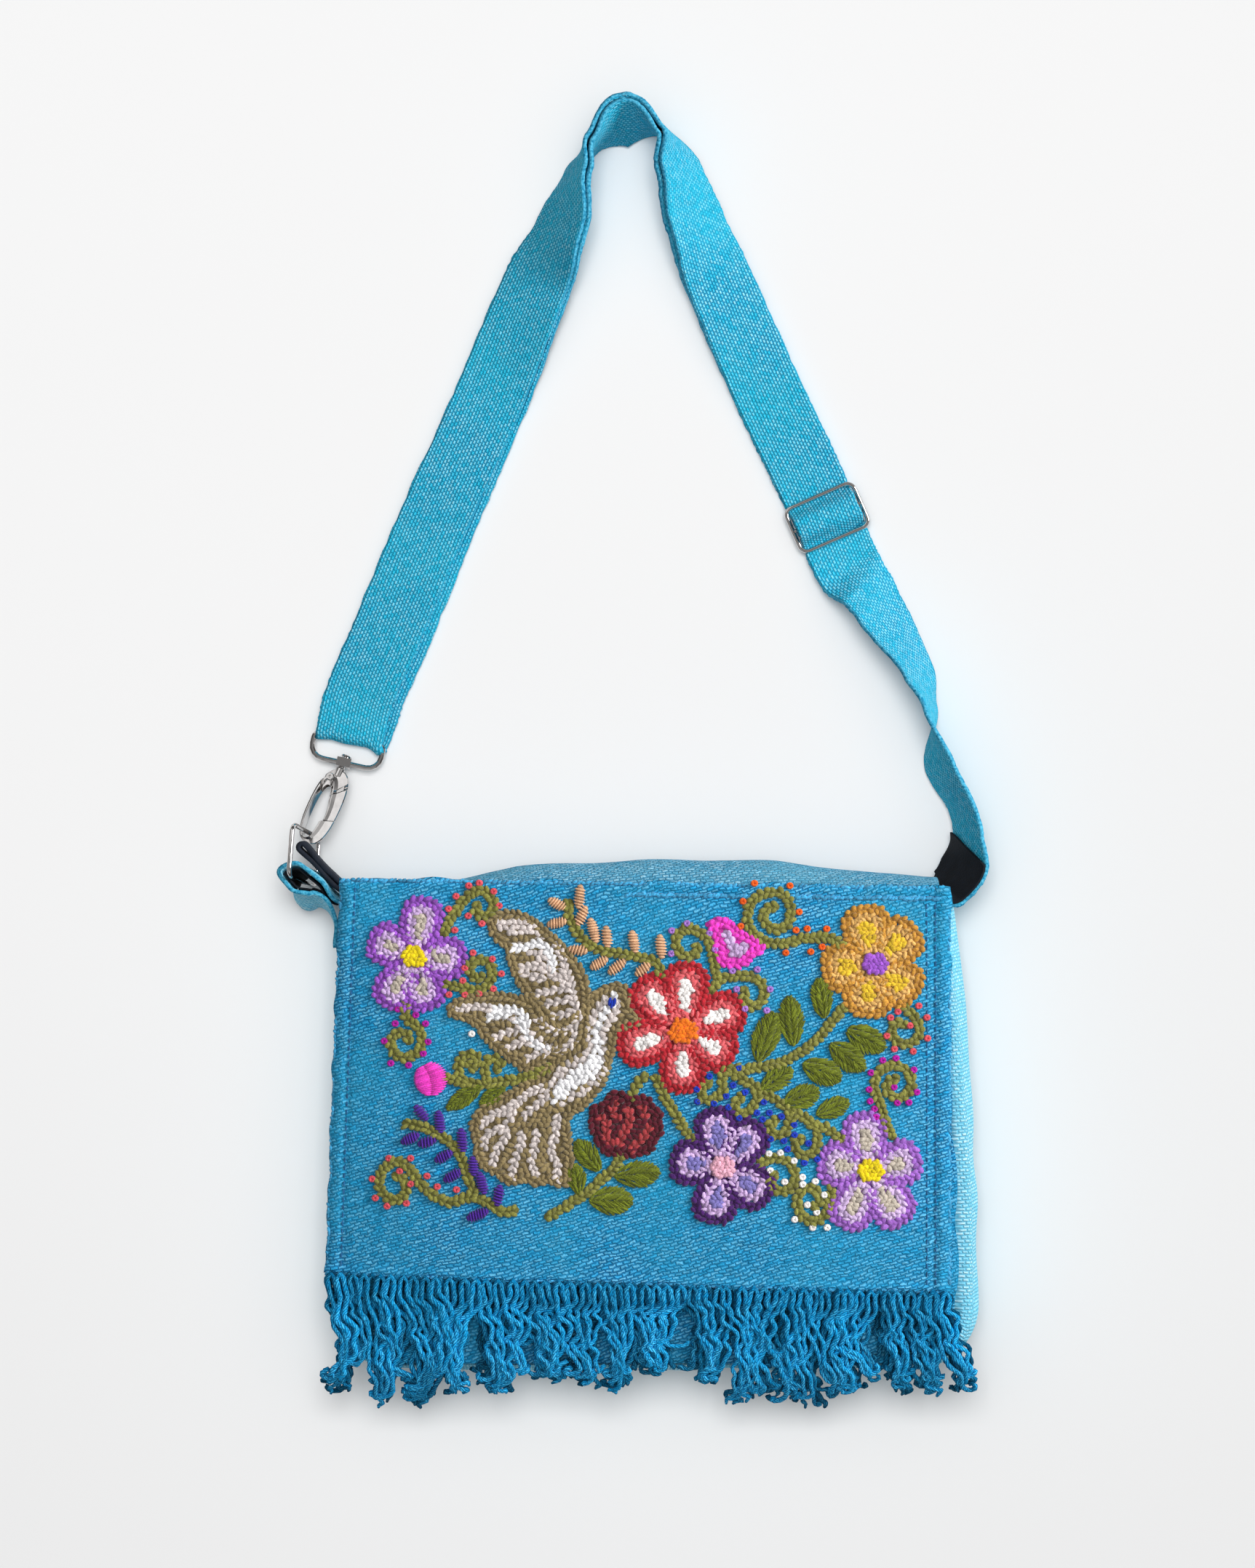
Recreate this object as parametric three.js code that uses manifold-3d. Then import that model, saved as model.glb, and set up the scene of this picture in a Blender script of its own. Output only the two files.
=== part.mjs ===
// Embroidered wool shoulder bag with a fringed flap, lying on its back.
// Millimetres. +Z is up and away from the surface it lies on, +Y runs from the bag
// towards the strap, and the origin is the middle of the back where it rests.
import * as THREE from "three";
import { LoftGeometry } from "three/addons/geometries/LoftGeometry.js";
import { mergeVertices } from "three/addons/utils/BufferGeometryUtils.js";
import Module from "manifold-3d";

const wasm = await Module();
wasm.setup();

// Driving dimensions
const CLOTH = 2.2; // woven wool wall
const GAP = 0.4; // air between pieces that touch

const MOUTH_Y = 103; // top edge of the front and of the gusset
const BOTTOM_Y = -117; // seam along the bottom
const CORNER_RADIUS = 26; // bottom corners
const SEAM_HALF_WIDTH = 141.5; // seam from the middle, at the mouth
const LEFT_SPREAD = 4; // how much wider the left side stands lower down
const RIGHT_SPREAD = 15; // and the right side
const WIDEST_Y = -70;
const DEPTH_AT_MOUTH = 38; // front face above the surface
const DEPTH_AT_BOTTOM = 46;
const FRONT_SWELL = 7;
const GUSSET_SWELL = 5;

const TURN_START_Y = 106; // where the back leaves the surface and turns over the mouth
const TURN_END_Y = 107; // where it ends again, under the flap
// How far the turn bulges past the mouth, along its width.
const TURN_EDGE = [
  { x: -137, y: 114 },
  { x: -90, y: 115.2 },
  { x: -76, y: 118.8 },
  { x: -62, y: 121.2 },
  { x: -36, y: 123 },
  { x: 0, y: 124.3 },
  { x: 38, y: 124.7 },
  { x: 64, y: 123.8 },
  { x: 94, y: 120.5 },
  { x: 116, y: 117.6 },
  { x: 137, y: 116.6 },
];
const CORNER_OPENING = 5; // room for the tabs beside the turn

const FLAP_THICKNESS = 2.8;
const FLAP_REST = 1.2; // air under the flap, which lies on a swelling front
const FLAP_CORNERS = {
  topLeft: { x: -146.6, y: 116.5 },
  topRight: { x: 148, y: 112.4 },
  bottomLeft: { x: -153.3, y: -74.2 },
  bottomRight: { x: 147.4, y: -83.3 },
};

const FRINGE_HEAD = 7; // strip that the locks grow from
const FRINGE_THICKNESS = 5;
const FRINGE_LOCKS = 26;
const LOCK_WIDTH = 12.5;
const LOCK_CLEARANCE = 1.4; // under a lock's middle line, over its own half thickness
const LOCK_SWAY = 3.5; // how far a tip stands to one side of its root, at most
const LOCK_WAVE = 1.6; // crimp to either side along a lock
const LOCK_UNEVEN = 3; // how far a tip stands past or short of the row of tips
const LOCK_TIP_WIDTH = 0.55; // share of its width that a lock keeps at its tip
const LOCK_TIP_THICKNESS = 0.65; // and of its thickness
const LOCK_ROOT = 2; // how far under the head's edge a lock starts
const DROOP_START_Y = -110; // past here the locks bend down over the bottom seam
const DROOP = 15; // at DROOP_SPAN past that line
const DROOP_SPAN = 27;
// Where the tips reach, along the flap's lower edge.
const FRINGE_TIPS = [
  { x: -152, y: -131 },
  { x: -122, y: -137 },
  { x: -95, y: -136 },
  { x: -60, y: -128 },
  { x: 0, y: -125 },
  { x: 38, y: -135 },
  { x: 62, y: -128 },
  { x: 92, y: -137 },
  { x: 122, y: -129 },
  { x: 152, y: -132 },
];

const STRAP_WIDTH = 34;
const STRAP_THICKNESS = 2;
const STRAP_AT_RING = 30.4; // the webbing bunches up where it passes a ring
const STRAP_IN_SLIDER = 32.5;
const LAYER_STEP = 2.4; // from one layer of the doubled strap to the other
const UNDER_SHIFT = 4.6; // how far the layer under it shows past its inner edge, near the ring
const UNDER_SHIFT_TO_ROW = 6;
// The strap's middle line, from the ring over the top to the bag's right corner. lean is
// the angle that its width makes with the outward direction: 180 lies flat with the outer
// face up, 90 stands on edge, and less shows the inner face. rise lifts it off the surface.
const STRAP_ROUTE = [
  { x: -144.9, y: 184, lean: 180, rise: 0, width: STRAP_AT_RING },
  { x: -140.6, y: 203.5, lean: 180, rise: 0, width: STRAP_WIDTH },
  { x: -128.2, y: 232.8, lean: 180, rise: 0, width: STRAP_WIDTH },
  { x: -104.2, y: 290.2, lean: 180, rise: 0, width: STRAP_WIDTH },
  { x: -78.2, y: 347.4, lean: 180, rise: 0, width: STRAP_WIDTH },
  { x: -53.5, y: 405.5, lean: 162, rise: 0, width: STRAP_WIDTH },
  { x: -40.5, y: 434, lean: 134, rise: 0, width: STRAP_WIDTH },
  { x: -31.5, y: 461.5, lean: 112, rise: 0, width: STRAP_WIDTH },
  { x: -26.8, y: 475.5, lean: 84, rise: 0, width: STRAP_WIDTH },
  { x: -9.5, y: 487, lean: 60, rise: 0, width: STRAP_WIDTH },
  { x: 12.5, y: 480.5, lean: 94, rise: 0, width: STRAP_WIDTH },
  { x: 17, y: 463.5, lean: 125, rise: 0, width: STRAP_WIDTH },
  { x: 24.8, y: 438.5, lean: 143, rise: 0, width: STRAP_WIDTH },
  { x: 39.2, y: 404, lean: 167, rise: 0, width: STRAP_WIDTH },
  { x: 64.5, y: 348, lean: 180, rise: 0, width: STRAP_WIDTH },
  { x: 78.3, y: 319.5, lean: 180, rise: 0, width: STRAP_WIDTH },
  { x: 90.4, y: 293, lean: 180, rise: 0, width: STRAP_IN_SLIDER, slider: true },
  { x: 101, y: 267, lean: 174, rise: 0, width: STRAP_WIDTH },
  { x: 115, y: 247.2, lean: 139, rise: 0, width: STRAP_WIDTH },
  { x: 134, y: 218, lean: 119, rise: 0, width: STRAP_WIDTH },
  { x: 140.2, y: 199, lean: 104, rise: 0, width: STRAP_WIDTH },
  { x: 145, y: 170, lean: 72, rise: 1.5, width: STRAP_WIDTH },
  { x: 155.5, y: 150, lean: 75, rise: 3.5, width: STRAP_WIDTH },
  { x: 158.5, y: 136, lean: 73, rise: 4.5, width: STRAP_WIDTH },
  { x: 157, y: 121, lean: 57, rise: 4, width: STRAP_WIDTH },
  { x: 149.8, y: 110.8, lean: 58, rise: 3.5, width: 32 },
  { x: 141, y: 106.8, lean: 84, rise: 4, width: 30 },
  { x: 134, y: 98, lean: 90, rise: 4, width: 30 },
];
const WIRE_AIR = 0.2; // between a wire and the webbing round it
const RING_AIR = 0.3; // between the ring and the layer under it
const RING_RAMP = 20; // length over which the layer on top comes down from the ring
const PATCH_THICKNESS = 1.2;
const PATCH_FROM_ROW = 23.2;
const PATCH_TO_ROW = 25.2;
const PATCH_AIR = 0.8; // between the patch and the strap's face
const PATCH_MARGIN = 0.4; // the strap shows past the patch along both edges

const WIRE = 2.2; // slider
const SLIDER_LENGTH = 23; // between the middles of its outer bars
const SLIDER_INNER_WIDTH = 34;
const SLIDER_Z = 5.7;
const SLIDER_CORNER = 4;

const RING_WIRE = 2.8; // the swivel's strap ring
const STRAP_RING_WIDTH = 34.6; // between the middles of its sides
const STRAP_RING_HEIGHT = 12.2; // from the bar in the strap's fold to the boss
const STRAP_RING_CORNER = 2.8;
const STRAP_RING_LOW_CORNER = 6.5; // beside the boss
const BOSS = { width: 7, height: 4.4, depth: 6 };

const TAB_RING_WIRE = 2.5;
const TAB_RING_CORNER = 4;
// The ring in the left tab stands at a slant: its first corner, and its two sides from there.
const TAB_RING_CORNER_POINT = new THREE.Vector3(-169.7, 142.4, 38);
const TAB_RING_BAR = new THREE.Vector3(9.8, -7.2, -32);
const TAB_RING_SIDE = new THREE.Vector3(-1.4, -24.5, 5.1);
const HOOK_HOLDS_BAR_AT = 0.7; // share of the bar's length

const HOOK_DEPTH = 4;
const HOOK_OUTER = { halfWidth: 7.3, top: -6, bottom: -44.3 }; // along the swivel's axis
const HOOK_EYE = { halfWidth: 4.7, top: -12.5, bottom: -41.2 };
const HOOK_ROUNDNESS = 2.5; // exponent of the superellipse: 2 is a plain ellipse
const HOOK_BEVEL = 0.5;
const HOLD_Y = -39; // where the tab ring's bar lies in the eye
const POST_RADIUS = 1.6;
const POST_PLAY = 0.25;
const GATE_PIVOT = { x: -2.5, y: -9.2 };
const GATE_TOP = -14; // notch under the head
const GATE_REACH = 22.6; // from the pivot to the seam at the gate's tip
const GATE_PLAY = 0.25;
const TONGUE = 1.7; // the gate's root between the head's cheeks
const RIVET_RADIUS = 0.8;
const RIVET_HEAD = { radius: 1.6, height: 0.7 };

const TAB_WIDTH = 27;
const TAB_THICKNESS = 2;
const TAB_LINING = 0.8;
const TAB_LINING_AIR = 1.2; // between the lining and the loop
const TAB_LINING_MARGIN = 2; // the loop shows past the lining along both edges
const TAB_LINING_ROWS = { from: 2.25, to: 7 };
// The left tab's loop round the ring's lower bar, seen from above, from where it is sewn
// to the gusset's outer face to where it is sewn inside. upright is 1 where its width
// stands straight up, and 0 where it follows the ring's bar. tilt leans its upper edge in.
const TAB_LOOP = [
  { x: -149.6, y: 84, z: 21, upright: 1, tilt: 0 },
  { x: -150.8, y: 96, z: 22.5, upright: 0.95, tilt: 0.12 },
  { x: -156, y: 103.2, z: 24, upright: 0.7, tilt: 0.22 },
  { x: -164.6, y: 105.6, z: 25.5, upright: 0.35, tilt: 0.3 },
  { x: -170.6, y: 110.6, z: 26, upright: 0.1, tilt: 0.15 },
  { x: -172.2, y: 117.6, z: 25.2, upright: 0, tilt: 0 },
  { x: -165.4, y: 120.6, z: 26.2, upright: 0, tilt: 0 },
  { x: -156.5, y: 115.6, z: 26.5, upright: 0.25, tilt: 0 },
  { x: -149.5, y: 107.6, z: 22, upright: 0.9, tilt: 0 },
  { x: -141.5, y: 104.4, z: 19.5, upright: 1, tilt: 0 },
  { x: -136, y: 97, z: 19.5, upright: 1, tilt: 0 },
];

const KEEPER_WIDTH = 13;
const KEEPER_LEATHER = 1.5;
const KEEPER_STEP = 2.1; // between the middles of its two layers
const KEEPER_Z = 26;
const KEEPER_ROUTE = [
  { x: -140, y: 109 },
  { x: -146.5, y: 111.6 },
  { x: -153, y: 117.5 },
  { x: -160.5, y: 125.5 },
  { x: -165.8, y: 131 },
];

const UP = new THREE.Vector3(0, 0, 1);

// Finishes
const woolBlue = new THREE.MeshStandardMaterial({ color: 0x3d93c4, roughness: 0.95, metalness: 0 });
const gussetBlue = new THREE.MeshStandardMaterial({ color: 0x6cc6e2, roughness: 0.95, metalness: 0 });
const webbingBlue = new THREE.MeshStandardMaterial({ color: 0x2fabd6, roughness: 0.9, metalness: 0 });
const fringeBlue = new THREE.MeshStandardMaterial({ color: 0x1f8fc4, roughness: 1, metalness: 0 });
const blackLeather = new THREE.MeshStandardMaterial({ color: 0x16181d, roughness: 0.55, metalness: 0 });
const nickel = new THREE.MeshStandardMaterial({ color: 0xc9c6bf, roughness: 0.2, metalness: 1 });

const lerp = THREE.MathUtils.lerp;
const clamp = THREE.MathUtils.clamp;
const smooth = (t) => THREE.MathUtils.smoothstep(t, 0, 1);

// The y of a row of points at some x, straight from one point to the next.
function alongRow(rows, x) {
  const next = clamp(
    rows.findIndex((row) => row.x >= x),
    1,
    rows.length - 1,
  );
  const share = clamp((x - rows[next - 1].x) / (rows[next].x - rows[next - 1].x), 0, 1);
  return lerp(rows[next - 1].y, rows[next].y, share);
}

// A geometry as a solid that can be joined and cut, and back again.
function solid(geometry) {
  const bare = new THREE.BufferGeometry();
  bare.setAttribute("position", geometry.getAttribute("position"));
  bare.setIndex(geometry.index);
  const merged = mergeVertices(bare, 1e-3);
  const mesh = new wasm.Mesh({
    numProp: 3,
    vertProperties: merged.attributes.position.array,
    triVerts: new Uint32Array(merged.index.array),
  });
  return new wasm.Manifold(mesh);
}

function geometryOf(made) {
  const mesh = made.getMesh();
  const geometry = new THREE.BufferGeometry();
  geometry.setAttribute("position", new THREE.BufferAttribute(mesh.vertProperties, 3));
  geometry.setIndex(new THREE.BufferAttribute(mesh.triVerts, 1));
  geometry.computeVertexNormals();
  return geometry;
}

function piece(name, geometry, material) {
  const mesh = new THREE.Mesh(geometry, material);
  mesh.name = name;
  return mesh;
}

// A cloth wall: a unit box cut into cells, each of whose points goes where place says.
// across, along and through run from 0 to 1.
function cloth(cellsAcross, cellsAlong, place) {
  const geometry = new THREE.BoxGeometry(1, 1, 1, cellsAcross, cellsAlong, 1);
  const points = geometry.getAttribute("position");
  for (let i = 0; i < points.count; i++) {
    const across = points.getX(i) + 0.5;
    const along = points.getY(i) + 0.5;
    const through = points.getZ(i) + 0.5;
    const { x, y, z } = place(across, along, through);
    points.setXYZ(i, x, y, z);
  }
  geometry.computeVertexNormals();
  return geometry;
}

// A flat strip through sections {centre, side, face, width}: side is its width's direction,
// and face the normal that makes side x face point along the strip.
function ribbon(sections, thickness, columns = 1) {
  const corners = [];
  for (let i = 0; i <= columns; i++) corners.push([1 - (2 * i) / columns, 1]);
  for (let i = 0; i <= columns; i++) corners.push([(2 * i) / columns - 1, -1]);
  const rings = sections.map(({ centre, side, face, width }) =>
    corners.map(([s, f]) =>
      centre
        .clone()
        .addScaledVector(side, (s * width) / 2)
        .addScaledVector(face, (f * thickness) / 2),
    ),
  );
  return new LoftGeometry(rings, { capStart: true, capEnd: true });
}

// A closed wire bent to a flat outline of 2D points, standing in its own XY plane.
function wireLoop(outline, wire, sides) {
  const steps = outline.length;
  const geometry = new THREE.TorusGeometry(1, 0.1, sides, steps);
  const points = geometry.getAttribute("position");
  for (let j = 0; j <= sides; j++) {
    const turn = (j / sides) * Math.PI * 2;
    for (let i = 0; i <= steps; i++) {
      const at = outline[i % steps];
      const ahead = outline[(i + 1) % steps];
      const behind = outline[(i + steps - 1) % steps];
      const run = new THREE.Vector2().subVectors(ahead, behind).normalize();
      const out = Math.cos(turn) * (wire / 2);
      points.setXYZ(
        j * (steps + 1) + i,
        at.x + run.y * out,
        at.y - run.x * out,
        Math.sin(turn) * (wire / 2),
      );
    }
  }
  geometry.computeVertexNormals();
  return geometry;
}

// Points round a rectangle with rounded corners, counterclockwise, centred on the origin.
function roundedRectangle(width, height, highRadius, stepsPerCorner = 4, lowRadius = highRadius) {
  const points = [];
  const quarter = Math.PI / 2;
  for (let corner = 0; corner < 4; corner++) {
    const radius = corner < 2 ? highRadius : lowRadius;
    const cx = (corner === 0 || corner === 3 ? 1 : -1) * (width / 2 - radius);
    const cy = (corner < 2 ? 1 : -1) * (height / 2 - radius);
    for (let i = 0; i <= stepsPerCorner; i++) {
      const angle = (corner + i / stepsPerCorner) * quarter;
      points.push(new THREE.Vector2(cx + radius * Math.cos(angle), cy + radius * Math.sin(angle)));
    }
  }
  return points;
}

// Body of the bag

function spread(y) {
  return 1 - Math.min(1, (Math.max(y, WIDEST_Y) - WIDEST_Y) / (MOUTH_Y - WIDEST_Y)) ** 2;
}

function seamX(side, y) {
  return side * (SEAM_HALF_WIDTH + spread(y) * (side < 0 ? LEFT_SPREAD : RIGHT_SPREAD));
}

// The seam's outline with its rounded bottom corners.
function outlineX(side, y) {
  const into = Math.max(0, BOTTOM_Y + CORNER_RADIUS - y);
  const inset = CORNER_RADIUS - Math.sqrt(Math.max(0, CORNER_RADIUS ** 2 - into ** 2));
  return seamX(side, y) - side * inset;
}

// Height of the front's outer face.
function frontZ(x, y) {
  const left = seamX(-1, y);
  const right = seamX(1, y);
  const u = clamp((2 * x - left - right) / (right - left), -1, 1);
  const up = clamp((y - BOTTOM_Y) / (MOUTH_Y - BOTTOM_Y), 0, 1);
  const v = 2 * up - 1;
  return lerp(DEPTH_AT_BOTTOM, DEPTH_AT_MOUTH, up) + FRONT_SWELL * (1 - u ** 4) * (1 - v ** 4);
}

// Rows crowd together at the bottom, where the corners are round.
const bodyY = (along) => lerp(BOTTOM_Y, MOUTH_Y, along ** 1.5);

function frontPanel() {
  return cloth(16, 12, (across, along, through) => {
    const y = bodyY(along);
    const x = lerp(outlineX(-1, y), outlineX(1, y), across);
    return { x, y, z: frontZ(x, y) - CLOTH * (1 - through) };
  });
}

// The back lies flat, then turns up and over the mouth and ends under the flap.
function backPanel() {
  const flatShare = 0.6;
  const endZ = DEPTH_AT_MOUTH - CLOTH / 2;
  const turnHalf = SEAM_HALF_WIDTH - CORNER_OPENING;
  return cloth(16, 20, (across, along, through) => {
    const lift = (through - 0.5) * CLOTH;
    if (along <= flatShare) {
      const y = lerp(BOTTOM_Y, TURN_START_Y, (along / flatShare) ** 1.5);
      const x = lerp(outlineX(-1, y), outlineX(1, y), across);
      return { x, y, z: CLOTH / 2 + lift };
    }
    const x = lerp(-turnHalf, turnHalf, across);
    const reach = (alongRow(TURN_EDGE, x) - CLOTH / 2 - 0.25 * TURN_START_Y) / 0.75;
    const curve = new THREE.CubicBezierCurve(
      new THREE.Vector2(TURN_START_Y, CLOTH / 2),
      new THREE.Vector2(reach, CLOTH / 2),
      new THREE.Vector2(reach, endZ),
      new THREE.Vector2(TURN_END_Y, endZ),
    );
    const t = (along - flatShare) / (1 - flatShare);
    const at = curve.getPoint(t);
    const run = curve.getTangent(t);
    return { x, y: at.x - run.y * lift, z: at.y + run.x * lift };
  });
}

// The seam line from the mouth's left end, round the bottom, to its right end.
function seamPath() {
  const path = new THREE.Path();
  const cornerY = BOTTOM_Y + CORNER_RADIUS;
  const sideSteps = 8;
  for (let i = 0; i <= sideSteps; i++) {
    const y = lerp(MOUTH_Y, cornerY, i / sideSteps);
    if (i === 0) path.moveTo(seamX(-1, y), y);
    else path.lineTo(seamX(-1, y), y);
  }
  path.absarc(seamX(-1, cornerY) + CORNER_RADIUS, cornerY, CORNER_RADIUS, Math.PI, 1.5 * Math.PI);
  path.absarc(seamX(1, cornerY) - CORNER_RADIUS, cornerY, CORNER_RADIUS, 1.5 * Math.PI, 2 * Math.PI);
  for (let i = 1; i <= sideSteps; i++) {
    const y = lerp(cornerY, MOUTH_Y, i / sideSteps);
    path.lineTo(seamX(1, y), y);
  }
  return path;
}

// One strip down the left side, along the bottom and up the right side.
function gusset() {
  const path = seamPath();
  const cells = 44;
  const low = CLOTH + GAP;
  return cloth(cells, 3, (around, up, through) => {
    const at = path.getPointAt(around);
    const run = path.getTangentAt(clamp(around, 0.002, 0.998));
    const high = frontZ(at.x, at.y) - CLOTH - GAP;
    const out = GUSSET_SWELL * Math.sin(Math.PI * up) + (through - 0.5) * CLOTH;
    return { x: at.x + run.y * out, y: at.y - run.x * out, z: lerp(low, high, up) };
  });
}

// Flap and fringe

function flapPoint(across, along) {
  const { topLeft, topRight, bottomLeft, bottomRight } = FLAP_CORNERS;
  const x = lerp(lerp(bottomLeft.x, bottomRight.x, across), lerp(topLeft.x, topRight.x, across), along);
  const y = lerp(lerp(bottomLeft.y, bottomRight.y, across), lerp(topLeft.y, topRight.y, across), along);
  return { x, y };
}

function flap() {
  return cloth(16, 12, (across, along, through) => {
    const { x, y } = flapPoint(across, along);
    return { x, y, z: frontZ(x, y) + FLAP_REST + FLAP_THICKNESS * through };
  });
}

// Middle height of a lock that lies on the front and bends down past the bottom seam.
function lockZ(x, y, thickness) {
  const past = Math.max(0, DROOP_START_Y - y) / DROOP_SPAN;
  return frontZ(x, Math.max(y, DROOP_START_Y)) + LOCK_CLEARANCE + thickness / 2 - DROOP * past ** 2;
}

function fringeLock(number) {
  const steps = 6;
  const sides = 5;
  const across = (number + 0.5) / FRINGE_LOCKS;
  const root = flapPoint(across, 0);
  const sway = LOCK_SWAY * Math.sin(number * 2.4);
  const end = alongRow(FRINGE_TIPS, root.x) + LOCK_UNEVEN * Math.sin(number * 1.7);
  const sections = [];
  for (let i = 0; i <= steps; i++) {
    const t = i / steps;
    const y = lerp(root.y - GAP - LOCK_ROOT, end, t);
    const x = root.x + sway * t + LOCK_WAVE * Math.sin(number + 5 * t);
    const swell = Math.sin(Math.PI * (0.35 + 0.55 * t));
    const halfWidth = (LOCK_WIDTH / 2) * (0.55 + 0.45 * swell) * lerp(1, LOCK_TIP_WIDTH, t);
    const thickness = FRINGE_THICKNESS * lerp(1, LOCK_TIP_THICKNESS, t);
    const z = lockZ(x, y, thickness);
    const ring = [];
    for (let k = 0; k < sides; k++) {
      const angle = (k / sides) * Math.PI * 2;
      ring.push(
        new THREE.Vector3(x + halfWidth * Math.cos(angle), y, z + (thickness / 2) * Math.sin(angle)),
      );
    }
    sections.push(ring);
  }
  return new LoftGeometry(sections, { capStart: true, capEnd: true });
}

function fringe() {
  const head = cloth(24, 1, (across, along, through) => {
    const edge = flapPoint(across, 0);
    const y = edge.y - GAP - FRINGE_HEAD * (1 - along);
    return { x: edge.x, y, z: frontZ(edge.x, y) + FLAP_REST + FLAP_THICKNESS * through };
  });
  let made = solid(head);
  for (let number = 0; number < FRINGE_LOCKS; number++) made = made.add(solid(fringeLock(number)));
  return geometryOf(made);
}

// Strap

const sliderRow = STRAP_ROUTE.findIndex((row) => row.slider);
const strapCurve = new THREE.CatmullRomCurve3(
  STRAP_ROUTE.map((row) => new THREE.Vector3(row.x, row.y, 0)),
  false,
  "centripetal",
);

// The strap's frame at a row number, which may lie between two rows.
function strapFrame(row) {
  const last = STRAP_ROUTE.length - 1;
  const below = Math.min(Math.floor(row), last - 1);
  const share = smooth(row - below);
  const mix = (column) => lerp(STRAP_ROUTE[below][column], STRAP_ROUTE[below + 1][column], share);
  const run = strapCurve.getTangent(clamp(row / last, 0, 1)).setZ(0).normalize();
  const outward = new THREE.Vector3().crossVectors(UP, run);
  const lean = THREE.MathUtils.degToRad(mix("lean"));
  const side = outward.clone().multiplyScalar(Math.cos(lean)).addScaledVector(UP, Math.sin(lean));
  const face = outward.clone().multiplyScalar(Math.sin(lean)).addScaledVector(UP, -Math.cos(lean));
  const width = mix("width");
  const stack = row < sliderRow ? LAYER_STEP + STRAP_THICKNESS : STRAP_THICKNESS;
  const centre = strapCurve.getPoint(clamp(row / last, 0, 1));
  centre.z = (width / 2) * Math.sin(lean) + (stack / 2) * Math.abs(Math.cos(lean)) + mix("rise");
  return { centre, run, side, face, width };
}

const sliderFrame = strapFrame(sliderRow);
const sliderHalf = SLIDER_LENGTH / 2;
const wrapRadius = WIRE / 2 + WIRE_AIR + STRAP_THICKNESS / 2;
const outerOverBar = SLIDER_Z + wrapRadius + STRAP_THICKNESS + WIRE_AIR;
const ringBarZ = STRAP_THICKNESS + RING_AIR + RING_WIRE / 2;
const foldRadius = RING_WIRE / 2 + WIRE_AIR + STRAP_THICKNESS / 2;

const fromSlider = (point) => point.clone().sub(sliderFrame.centre).dot(sliderFrame.run);
const fromRing = (point) => Math.hypot(point.x - STRAP_ROUTE[0].x, point.y - STRAP_ROUTE[0].y);

// The layer under the doubled strap, which ends wrapped round the slider's middle bar.
function innerSection(row) {
  const frame = strapFrame(row);
  const { centre, face, side } = frame;
  const shift = UNDER_SHIFT * smooth(row) * smooth((UNDER_SHIFT_TO_ROW - row) / 4);
  centre.addScaledVector(face, -LAYER_STEP / 2).addScaledVector(side, shift);
  const rise = smooth((fromSlider(centre) + 9) / 9) * (SLIDER_Z - wrapRadius - STRAP_THICKNESS / 2);
  if (row > sliderRow - 1) centre.z += rise;
  return { ...frame, centre, face };
}

// The layer on top, which goes under the slider's outer bars and over its middle one.
function outerSection(row) {
  const frame = strapFrame(row);
  const { centre, face } = frame;
  const along = Math.abs(fromSlider(centre));
  if (row < sliderRow) {
    centre.addScaledVector(face, LAYER_STEP / 2);
    const overRing = ringBarZ + foldRadius - STRAP_THICKNESS / 2 - LAYER_STEP;
    centre.z += overRing * smooth(1 - fromRing(centre) / RING_RAMP);
  }
  if (Math.abs(row - sliderRow) < 1) {
    centre.z = lerp(centre.z, outerOverBar, smooth(1 - (along - 2.5) / (sliderHalf - 4)));
  }
  return { ...frame, centre, face: face.clone().negate() };
}

// Sections round a bar, whose face looks at the bar.
function wrap(bar, run, side, radius, width, fromAngle, toAngle, steps) {
  const sections = [];
  for (let i = 0; i <= steps; i++) {
    const angle = THREE.MathUtils.degToRad(lerp(fromAngle, toAngle, i / steps));
    const out = run.clone().multiplyScalar(Math.cos(angle)).addScaledVector(UP, Math.sin(angle));
    const centre = bar.clone().addScaledVector(out, radius);
    sections.push({ centre, side, face: out.negate(), width });
  }
  return sections;
}

function rowsBetween(from, to, step) {
  const rows = [];
  const count = Math.round(Math.abs(to - from) / step);
  for (let i = 0; i <= count; i++) rows.push(lerp(from, to, i / count));
  return rows;
}

function strap() {
  const ringFrame = strapFrame(0);
  const middleBar = sliderFrame.centre.clone().setZ(SLIDER_Z);
  const ringBar = ringFrame.centre.clone().setZ(ringBarZ);
  const inner = [
    ...rowsBetween(sliderRow - 0.06, sliderRow - 1, 0.157),
    ...rowsBetween(sliderRow - 1.4, 0.12, 0.42),
  ].map(innerSection);
  const outer = [
    ...rowsBetween(0.12, 1, 0.22),
    ...rowsBetween(1.4, sliderRow - 0.8, 0.44),
    ...rowsBetween(sliderRow - 0.62, sliderRow + 0.62, 0.062),
    ...rowsBetween(sliderRow + 1, PATCH_FROM_ROW - 0.4, 0.4),
    ...rowsBetween(PATCH_FROM_ROW, STRAP_ROUTE.length - 1, 0.2),
  ].map(outerSection);
  const { run, side } = sliderFrame;
  const around = wrap(middleBar, run, side, wrapRadius, STRAP_IN_SLIDER, 130, -90, 7);
  const fold = wrap(ringBar, ringFrame.run, ringFrame.side, foldRadius, STRAP_AT_RING, 270, 90, 6);
  return ribbon([...around, ...inner, ...fold, ...outer], STRAP_THICKNESS, 2);
}

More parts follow.
